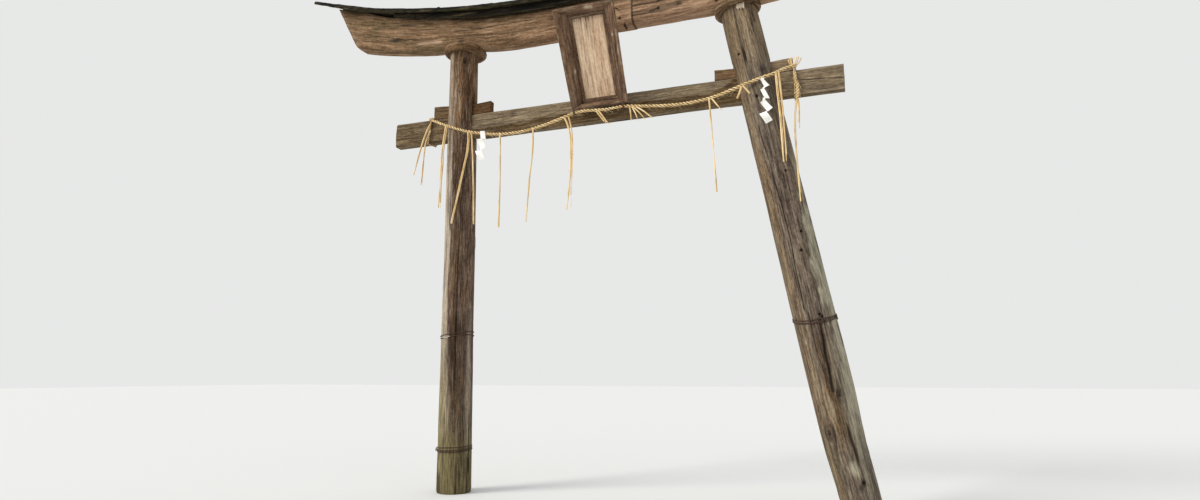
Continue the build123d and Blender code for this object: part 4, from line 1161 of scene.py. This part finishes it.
lintel_piece("left", (-0.848, 1.1430), (-1.031, 1.1430), 260, 400,
             knots=[((-0.021, -0.065, 2.824), 0.014), ((0.62, -0.065, 2.86), 0.012),
                    ((0.3, 0.065, 2.85), 0.018), ((-0.5, 0.065, 2.93), 0.015), ((0.35, -0.065, 2.80), 0.009)],
             cracks=[([(-0.75, -0.065, 2.99), (-0.45, -0.065, 2.90), (-0.2, -0.065, 2.87)],
                      0.0025, 0.004, 0.9),
                     ([(0.1, -0.065, 2.885), (0.45, -0.065, 2.880), (0.72, -0.065, 2.878)],
                      0.0022, 0.004, 0.9),
                     ([(0.2, -0.065, 2.815), (0.5, -0.065, 2.812)], 0.0018, 0.003, 0.7),
                     ([(-0.1, 0.065, 2.87), (0.6, 0.065, 2.86), (1.0, 0.065, 2.87)], 0.003, 0.007, 1.0)],
             holes=[(1.067, 2.783), (1.092, 2.747)],
             dabs=[((-0.682, 3.025), (0.070, 0.020), (-0.3, 0.55, 0.8)),
                   ((-0.520, 2.914), (0.045, 0.014), (-0.3, 0.65, 0.4)),
                   ((-0.75, 2.98), (0.10, 0.03), (0, 0.15, 0.5)),
                   ((-0.60, 2.95), (0.10, 0.03), (0, 0.1, 0.4)),
                   ((-0.345, 2.836), (0.035, 0.006), (-0.3, 0.6, 0)),
                   ((0.62, 2.80), (0.15, 0.02), (0.1, 0, 0)),
                   ((1.09, 2.83), (0.03, 0.07), (-0.1, 0.12, 0))],
             streaks=[([(-0.350, -0.065, 2.852), (-0.296, -0.065, 2.853), (-0.180, -0.065, 2.842)],
                       0.013, 1.1),
                      ([(-0.300, -0.06, 2.803), (-0.160, -0.055, 2.782)], 0.010, 0.6),
                      # a painted highlight along the front edge of the slanting left end
                      ([(-1.012, -0.065, 3.225), (-0.845, -0.065, 2.94)], 0.008, 0.3)])
lintel_piece("right", (1.1444, 2.708), (1.1444, 2.891), 200, 440,
             knots=[((1.62, -0.065, 2.86), 0.014), ((2.1, 0.065, 2.93), 0.016),
                    ((1.43, -0.065, 2.81), 0.010)],
             cracks=[([(1.3, -0.065, 2.85), (1.7, -0.065, 2.86), (2.1, -0.065, 2.90)], 0.0025, 0.004, 0.9),
                     ([(1.3, 0.065, 2.86), (1.9, 0.065, 2.89), (2.4, 0.065, 3.0)], 0.003, 0.007, 1.0)],
             holes=[(1.306, 2.802), (1.648, 2.787)],
             dabs=[((1.45, 2.79), (0.15, 0.02), (0.3, 0, 0))], streaks=[])


# Collars

def collar(side, radius, deep, tilt, aside, seed, cracks, tone):
    """A round collar: its depth below the lintel, how far its foot is tilted, how far it sits to the right,
    where its cracks are and its warm tone."""
    soft = 0.018
    top = underside(post_axis(side, 2.79))
    low, x0 = top - deep, post_axis(side, top) + aside
    a = angles(150)
    foot, inner, wide = post_axis(side, low), post_radius(side, low) + 0.0015, radius - soft
    x, y, bottom = x0 + radius * np.cos(a), radius * np.sin(a), low + tilt * radius * np.cos(a)
    rings = [xyz((foot + inner * np.cos(a)) * (1 - t) + (x0 + wide * np.cos(a)) * t,
                 (inner * (1 - t) + wide * t) * np.sin(a), bottom) for t in np.arange(9) / 9]
    for t in np.arange(10) / 9 * math.pi / 2:
        r = radius - soft * (1 - math.sin(t))
        rings.append(xyz(x0 + r * np.cos(a), r * np.sin(a), bottom + soft * (1 - math.cos(t))))
    ceiling = np.where(np.abs(y) < 0.10, underside(x) - 0.0005, underside(x))
    rings += [xyz(x, y, (bottom + soft) * (1 - t) + ceiling * t) for t in np.arange(1, 16) / 15]
    for share in (0.9, 0.72):
        x = x0 + radius * share * np.cos(a)
        rings.append(xyz(x, radius * share * np.sin(a), underside(x) - 0.0005))
    verts, quads = skin(rings)
    n, turn = normals(verts, quads), np.tile(a, len(rings))
    r = np.linalg.norm(verts[:, :2] - (x0, 0), axis=1)
    grain = xyz(turn * 0.13, r, verts[:, 2])
    out = 0.0016 * fbm(verts, 22, seed, 3) + 0.0008 * fbm(grain, (8, 90, 110), seed + 3, 3)
    dark = 0.26 * patches(verts, 40, seed + 5, 0.1, 0.8)
    for where in cracks:
        d = np.abs(wrap(turn - where + 0.05 * noise(verts * 60, 3))) * r
        out -= 0.004 * bell(d, 0.002)
        dark += 0.7 * bell(d, 0.002)
    # upward faces are paler: painted light from above
    marks = np.clip(xyz(0.2 * smooth(n[:, 2], 0, 1), dark, 0, tone), 0, 1)
    verts = verts + n * out[:, None]
    verts[:, 2] = np.minimum(verts[:, 2], underside(verts[:, 0]) - 0.0003)
    piece(side + "_collar_ring", (verts, quads, grain), collar_wood, side + "_collar", marks)


collar("left", 0.136, 0.038, 0.0, 0.010, 500, (0.7, 2.2, 3.9, 5.1), 0.5)
collar("right", 0.131, 0.036, 0.11, 0.0, 520, (1.2, 2.9, 4.4, 5.6), 0.2)

chip_low, chip_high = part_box("collar_chip")


def chip_outline(x):
    return block(0.0055, chip_low[2] + 0.004 * math.sin(x * 400), chip_high[2])


def chip_paint(p, n, grain, pale, dark, green, warm):
    pale[:] = 0.8


chip_rings = sawn(np.linspace(chip_low[0], chip_high[0], 16), chip_outline, 40, 0.001, 3)
chip_shift = (0.036, (chip_low[1] + chip_high[1]) / 2, -0.012)
timber("collar_chip", "splinter", [ring + chip_shift for ring in chip_rings], left_wood, 540,
       along=2, warm=1.0, furrow=0.0008, cap=4, paint=chip_paint)

# Roof boards: the upper ones and the cap follow their own flat curve, and the under boards fill the space
# below it. A reach is half a length, and a width is measured from the gate's middle plane
UNDER_REACH, UNDER_WIDE = 1.459, 0.1115
UPPER_REACH, UPPER_WIDE, UPPER_THICK = 2.0955, 0.1475, 0.0216
BOARD_GAP = 0.0035  # half the gap between the front and back boards
CAP_REACH, CAP_HALF = 1.980, 0.0478
CAP_FOOT, CAP_SHOULDER, CAP_TOP = 0.0224, 0.030, 0.0436  # heights above the roof line


def roof_piece(node, rings, outer, reach, sign, seed, upper):
    """One long board of the roof: weathered, ragged along its outer edge and at its ends."""
    def tears(p):
        return patches(p, (5, 60), seed + 22, 0.45, 0.9)

    def shape(p, n):
        return -0.0025 * tears(p) + 0.0012 * fbm(p, 30, seed + 24, 3)

    def paint(p, n, grain, pale, dark, green, warm):
        x, top, face = p[:, 0], smooth(n[:, 2], 0.3, 0.8), smooth(np.abs(n[:, 1]), 0.6, 0.9)
        # darker where torn, and painted shade on the downward faces
        dark += 0.6 * tears(p) + 0.85 * smooth(-n[:, 2], 0.2, 0.8)
        pale += 0.35 * top * patches(grain, (1.2, 20), seed + 25, -0.1, 0.7)
        green += 0.6 * top * patches(p, (6, 14), seed + 26, 0.0, 0.6)
        if upper:
            worn = 0.8 + 1.2 * fbm(grain, (5, 130), seed + 29, 3)
            pale += face * (0.06 + 0.12 * smooth(x, -1.1, -0.5)) * worn
            dark += face * (0.64 + 0.7 * patches(grain, (7, 90), seed + 28, 0.05, 0.5))
            green += 0.45 * face * patches(p, (7, 20), seed + 27, -0.1, 0.6)
        else:
            level = p[:, 2] + np.abs(p[:, 1]) * ROOF_RISE - ridge(x)
            level = level / np.maximum(roof_line(x) - ridge(x), 0.004)
            shade = 0.9 * smooth(0.22 - level, 0, 0.12) + 0.9 * smooth(level, 0.66, 0.80)
            dark += face * (0.52 + shade + 0.5 * patches(grain, (6, 70), seed + 28, 0.1, 0.6))
            pale += face * 0.10
            warm += 0.6 * face
        for joint in (-0.35, 0.72, 1.9) if sign < 0 else (0.1, 1.3, 2.2):
            dark += 0.9 * bell(x - joint - (0.05 if upper else 0), 0.004)

    board = timber(node, "plank", rings, roof_wood, seed, warm=0.35, paint=paint, shape=shape,
                   cap=3, furrow=0.0012, checks=1.0, pattern=(2.0, 60)).data
    co = np.zeros((len(board.vertices), 3), np.float32)
    board.vertices.foreach_get("co", co.ravel())
    x, y = co[:, 0], np.abs(co[:, 1])
    line, across = xyz(x, seed, sign), xyz(y, seed, np.sign(x - MIDDLE))
    bite = 0.004 * patches(line, (9, 1), seed + 31, 0.0, 0.9, 4)
    bite = bite + 0.007 * patches(line, (3.3, 1), seed + 33, 0.45, 0.9)
    co[:, 1] -= np.sign(co[:, 1]) * bite * smooth(y, outer - 0.05, outer)
    jag = 0.012 * patches(across, (40, 1), seed + 35, -0.2, 0.8)
    if upper:
        # the ends are rotted away obliquely, and only the front corner keeps its length
        limit = reach - (0.100 * (1 - y / outer) if sign < 0 else 0.085 + 0.015 * (1 - y / outer))
        past = np.maximum(np.abs(x - MIDDLE) - (reach - 0.35), 0) / 0.35
        co[:, 0] -= np.sign(x - MIDDLE) * (reach - limit) * past
    co[:, 0] -= np.sign(x - MIDDLE) * jag * smooth(np.abs(x - MIDDLE), reach - 0.10, reach)
    board.vertices.foreach_set("co", co.ravel())
    board.update()


def swept(outline, reach, cols):
    """Rings of an outline of (y, height) swept along the roof line."""
    across, height = section(outline, cols, 0.0015).T
    rings = []
    for x in np.linspace(MIDDLE - reach, MIDDLE + reach, 330):
        up = roof_up(x)
        rings.append(xyz(x + up[0] * height, across, roof_line(x) + up[1] * height))
    return rings


for sign, side in ((-1, "front"), (1, "back")):
    def under_outline(x):
        """An under board, from the lintel's sloping top up to the upper board."""
        low, high = ridge(x) + 0.0006, roof_line(x) - 0.0006
        corners = ((BOARD_GAP, low), (UNDER_WIDE, low), (UNDER_WIDE, high), (BOARD_GAP, high))
        return [(sign * y, h - y * ROOF_RISE) for y, h in corners]

    rings = sawn(np.linspace(MIDDLE - UNDER_REACH, MIDDLE + UNDER_REACH, 280), under_outline, 60, 0.0015)
    roof_piece("roof_under_board_" + side, rings, UNDER_WIDE, UNDER_REACH, sign, 600 + (sign + 1) * 20, False)
    corners = ((BOARD_GAP, 0.0004), (UPPER_WIDE, 0.0004), (UPPER_WIDE, UPPER_THICK), (BOARD_GAP, UPPER_THICK))
    edge = [(sign * y, h - y * ROOF_RISE) for y, h in corners]
    roof_piece("roof_upper_board_" + side, swept(edge, UPPER_REACH, 64), UPPER_WIDE, UPPER_REACH, sign,
               700 + (sign + 1) * 20, True)


def cap_paint(p, n, grain, pale, dark, green, warm):
    pale += 0.4 * smooth(n[:, 2], 0.2, 0.8) * patches(grain, (1.5, 24), 801, -0.1, 0.7)
    green += patches(p, (5, 16), 803, 0.0, 0.6) * 0.7


cap_low = CAP_FOOT - CAP_HALF * ROOF_RISE
cap_outline = [(0, CAP_FOOT), (CAP_HALF, cap_low), (CAP_HALF, CAP_SHOULDER), (0.024, CAP_TOP),
               (-0.024, CAP_TOP), (-CAP_HALF, CAP_SHOULDER), (-CAP_HALF, cap_low)]
timber("ridge_cap", "plank", swept(cap_outline, CAP_REACH, 56), roof_wood, 800, warm=0.4,
       paint=cap_paint, cap=3, furrow=0.0014, checks=1.0, pattern=(2.0, 60), wavy=0.0020)


def moss_tufts(seed):
    """Little cushions of moss on the roof boards, thickest along the edges and joints."""
    r = np.random.default_rng(seed)
    a = angles(8)
    parts = []
    for _ in range(420):
        x = MIDDLE + (r.random() * 2 - 1) * 1.93
        if waver(np.array([x * 3.1]), seed)[0] < r.uniform(-0.4, 0.6):
            continue
        place = r.random()
        if place < 0.3:
            y, height = r.choice([-1, 1]) * r.uniform(0.128, 0.140), UPPER_THICK
        elif place < 0.7:
            y, height = r.choice([-1, 1]) * r.uniform(0.052, 0.064), UPPER_THICK
        else:
            y, height = r.uniform(-0.018, 0.018), CAP_TOP
        up = roof_up(x)
        height -= abs(y) * ROOF_RISE if height < CAP_TOP else 0
        base = np.array([x + up[0] * height, y, roof_line(x) + up[1] * height])
        wide, tall = r.uniform(0.004, 0.010), r.uniform(0.0015, 0.004)
        rings = []
        for t in (0.02, 0.55, 0.85, 1.0):
            wobble = wide * t * (1 + 0.25 * r.standard_normal(8))
            level = math.sqrt(1 - t * t) if t < 1 else -0.25
            rings.append(base + xyz(wobble * np.cos(a) * 1.4, wobble * np.sin(a), tall * level))
        parts.append(skin(rings))
    piece("roof_moss", merge(parts), moss)


moss_tufts(900)


# Tablet: four mitred boards round a bare panel, tilted forwards

tilt = math.radians(30)
RIGHT = np.array([1.0, 0, 0])
UP = np.array([0, -math.sin(tilt), math.cos(tilt)])
BEHIND = np.array([0, math.cos(tilt), math.sin(tilt)])
TABLET_TALL = 0.577
OPEN_HALF, OPEN_LOW, OPEN_TOP = 0.091, 0.054, 0.504  # the frame's opening: half width, lower and upper edge


def on_tablet(u, v, depth):
    u, v, depth = np.broadcast_arrays(u, v, depth)
    return TABLET + u[..., None] * RIGHT + v[..., None] * UP + depth[..., None] * BEHIND


def outer_corners(inset):
    low, top = 0.177 - inset, 0.185 - inset
    return [(-low, inset), (low, inset), (top, TABLET_TALL - inset), (-top, TABLET_TALL - inset)]


def inner_corners(grow):
    half, low, top = OPEN_HALF + grow, OPEN_LOW - grow, OPEN_TOP + grow
    return block(half, low, top)


# The frame's profile: the corners that each of its edges joins, and how deep the edge lies
rails = [(inner_corners(0.040), 0.0578), (outer_corners(0.0), 0.0), (outer_corners(0.009), 0.0),
         (inner_corners(0.026), 0.024), (inner_corners(0.024), 0.036), (inner_corners(0.0), 0.044),
         (inner_corners(0.0), 0.0575)]


def tablet_board(side, first, last, seed, chips):
    """One frame board between two of the tablet's corners; its pale chips have a place and a size."""
    ends = []
    for corner in (first, last):
        points = [np.array([*corners[corner], depth]) for corners, depth in rails]
        ring = []
        for i, point in enumerate(points):
            radius = 0.0016 if i in (1, 2, 4, 5) else 0.0008
            ring += softened(points[i - 1], point, points[(i + 1) % len(points)], radius, 2)
        ends.append(np.array(ring + ring[:1]))
    along = distances((ends[0] + ends[1]) / 2)
    a, b = (read_at(ring, along / along[-1], np.arange(96) / 96) for ring in ends)
    upright = first % 2 == 1
    rings = [on_tablet(*(a + (b - a) * t).T) for t in np.linspace(0.0012, 1 - 0.0012, 90 if upright else 60)]

    def paint(p, n, grain, pale, dark, green, warm):
        d = (p - TABLET) @ BEHIND
        # painted shade in the inner corner of the frame's step, and random dark patches
        dark += 0.45 * bell(d - 0.0355, 0.0025) * (d < 0.05) + 0.25 * patches(p, 12, seed + 40, 0.1, 0.8)
        pale += 0.35 * bell(d - 0.002, 0.0025) * patches(p, 35, seed + 41, 0.0, 0.6, 2)
        for place, size in chips:
            pale += 1.2 * np.exp(-(((p - on_tablet(*place)) / size) ** 2).sum(1))

    timber("tablet_frame_" + side, "board", rings, frame_wood, seed, paint=paint, furrow=0.0004,
           wavy=0.0009, warm=0.4, pattern=(3, 70), checks=0.0, cap=5, angle=32, end_crack=0.0004,
           axes=(UP, RIGHT, BEHIND) if upright else (RIGHT, UP, BEHIND))


tablet_board("bottom", 0, 1, 1000, [((0.11, 0.02, 0.004), (0.008, 0.008, 0.005))])
tablet_board("right", 1, 2, 1020, [((0.162, 0.30, 0.004), (0.004, 0.02, 0.03)),
                                   ((0.14, 0.39, 0.014), (0.006, 0.008, 0.008))])
tablet_board("top", 2, 3, 1040, [((0.02, 0.558, 0.008), (0.016, 0.012, 0.006)),
                                 ((0.045, 0.556, 0.008), (0.007, 0.01, 0.006))])
tablet_board("left", 3, 0, 1060, [((-0.183, 0.42, 0.002), (0.006, 0.02, 0.02)),
                                  ((-0.12, 0.22, 0.02), (0.004, 0.01, 0.012))])


def panel_paint(p, n, grain, pale, dark, green, warm):
    u, w = (p - TABLET) @ RIGHT, (p - TABLET) @ UP
    grain[:, 1] += 0.004 * np.sin(w * 9) + 0.003 * noise(xyz(w * 5, u * 8, 0), 3)
    split = bell(u + 0.012 - 0.004 * waver(w * 30, 5), 0.0022) * smooth(w, 0.425, 0.455)
    # a split, and painted shade near the sides of the opening, where the frame stands in front of the panel
    dark += 0.9 * split + 0.25 * smooth(0.016 - (OPEN_HALF - np.abs(u)), 0, 0.016)
    # painted shade at the top, under the frame's top board
    dark += 0.35 * smooth(w, 0.48, OPEN_TOP)
    dark += 0.22 * patches(grain, (3, 50), 1105, 0.3, 0.9)
    pale += 0.5 * smooth(-u, -0.02, 0.09) * patches(grain, (2, 40), 1101, -0.2, 0.5)


def panel_shape(p, n):
    u, w = (p - TABLET) @ RIGHT, (p - TABLET) @ UP
    return -0.0025 * bell(u + 0.012, 0.002) * smooth(w, 0.425, 0.455) * (n[:, 1] < 0)


across, deep = section(block(0.1008, 0.0442, 0.0576), 130, 0.001).T
panel_rings = [on_tablet(across, v, deep) for v in np.linspace(0.0442, 0.5138, 120)]
timber("tablet_panel", "board", panel_rings, panel_wood, 1100, paint=panel_paint,
       shape=panel_shape, furrow=0.0, wavy=0.0006, checks=0.0, warm=0.45, cap=3, axes=(UP, RIGHT, BEHIND))


# Iron: wire turns round the posts, hooks and stays

def wire_band(node, side, height, wires, ends, seed):
    """Turns of wire round a post: each has its offset, slant, the angle it climbs towards, and thickness. The
    ends are twisted together at an angle and an offset, and reach out in x and z."""
    r = np.random.default_rng(seed)
    s0 = height / math.cos(LEANS[side])
    a = np.arange(145) / 144 * CIRCLE
    parts = []
    for off, slant, towards, thick in wires:
        s = s0 + off + slant * np.cos(a - math.radians(towards)) + 0.0011 * np.sin(2 * a + r.random() * 6)
        s = s + 0.0007 * np.sin(5 * a + r.random() * 6)
        parts.append(tube(on_post(side, s, a, thick - 0.0004), thick, 8, ends=False))
    turned, off, reach_x, reach_z = ends
    start = on_post(side, s0 + off, math.radians(turned), 0.003)
    out = unit(start - np.array([FEET[side][0] + s0 * math.sin(LEANS[side]), 0, start[2]]))
    t = np.linspace(0, 1, 26)
    for phase in (0, math.pi):
        u, v = 0.0020 * np.cos(t * 14 + phase), 0.0020 * np.sin(t * 14 + phase)
        path = start + out * (0.003 * np.sin(t * 3))[:, None] + xyz(u + reach_x * t, v, v + reach_z * t)
        parts.append(tube(path, 0.0016, 6))
    piece(node + "_wire", merge(parts), iron, node)


wire_band("left_post_band_1", "left", 0.908, [(0.000, 0.010, 10, 0.0025), (0.018, 0.012, 20, 0.0023)],
          (-118, 0.002, -0.016, -0.003), 1201)
pale_ends = []
for heights, turned in (((913, 907), (-143, -86)), ((906, 899), (-128, -93))):
    path = on_post("left", np.linspace(*heights, 20) / 1000, np.radians(np.linspace(*turned, 20)), 0.0046)
    pale_ends.append(tube(path, 0.0019, 6))
piece("left_post_band_1_ends", merge(pale_ends), zinc, "left_post_band_1")
wire_band("left_post_band_2", "left", 0.257,
          [(-0.015, 0.006, 80, 0.0026), (-0.006, 0.006, 70, 0.0026), (0.006, 0.004, 40, 0.0022)],
          (-150, 0.002, -0.004, -0.02), 1202)
wire_band("right_post_band", "right", 0.955,
          [(0.005, 0.028, 108, 0.0023), (0.012, 0.030, 104, 0.0024), (0.019, 0.026, 112, 0.0022)],
          (-20, 0.002, 0.010, -0.02), 1203)

for name in ("tablet_hook_left", "tablet_hook_right", "tablet_stay_left", "tablet_stay_right"):
    mesh = frame["nodes"][name].data
    mesh.materials.clear()
    mesh.materials.append(iron)

# Floor, light and background
ground = bpy.data.meshes.new("floor")
ground.from_pydata([(-40, -40, 0), (40, -40, 0), (40, 40, 0), (-40, 40, 0)], [], [(0, 1, 2, 3)])
ground.materials.append(Paint(bpy.data.materials.new("floor")).done((0.80, 0.80, 0.79, 1), 0.95))
floor = bpy.data.objects.new("floor", ground)
scene.collection.objects.link(floor)

world = bpy.data.worlds.new("studio")
scene.world = world
m = Paint(world)
rays = m.node("LightPath").outputs
seen = m.math("MAXIMUM", rays["Is Camera Ray"], rays["Is Glossy Ray"])
seen = m.math("MAXIMUM", seen, rays["Is Transmission Ray"])
light = m.value("Background", {0: (0.97, 0.99, 1.0, 1), 1: 0.72})
shown = m.value("Background", {0: (0.80, 0.81, 0.80, 1), 1: 1.0})
m.node("OutputWorld", {0: m.value("MixShader", {0: seen, 1: light, 2: shown})})

sun = bpy.data.lights.new("sun", "SUN")
sun.energy, sun.angle, sun.color = 2.2, math.radians(26), (1.0, 0.97, 0.92)
lamp = bpy.data.objects.new("sun", sun)
lamp.rotation_euler = (math.radians(58), 0, math.radians(-46))
scene.collection.objects.link(lamp)

scene.view_settings.view_transform = "Standard"
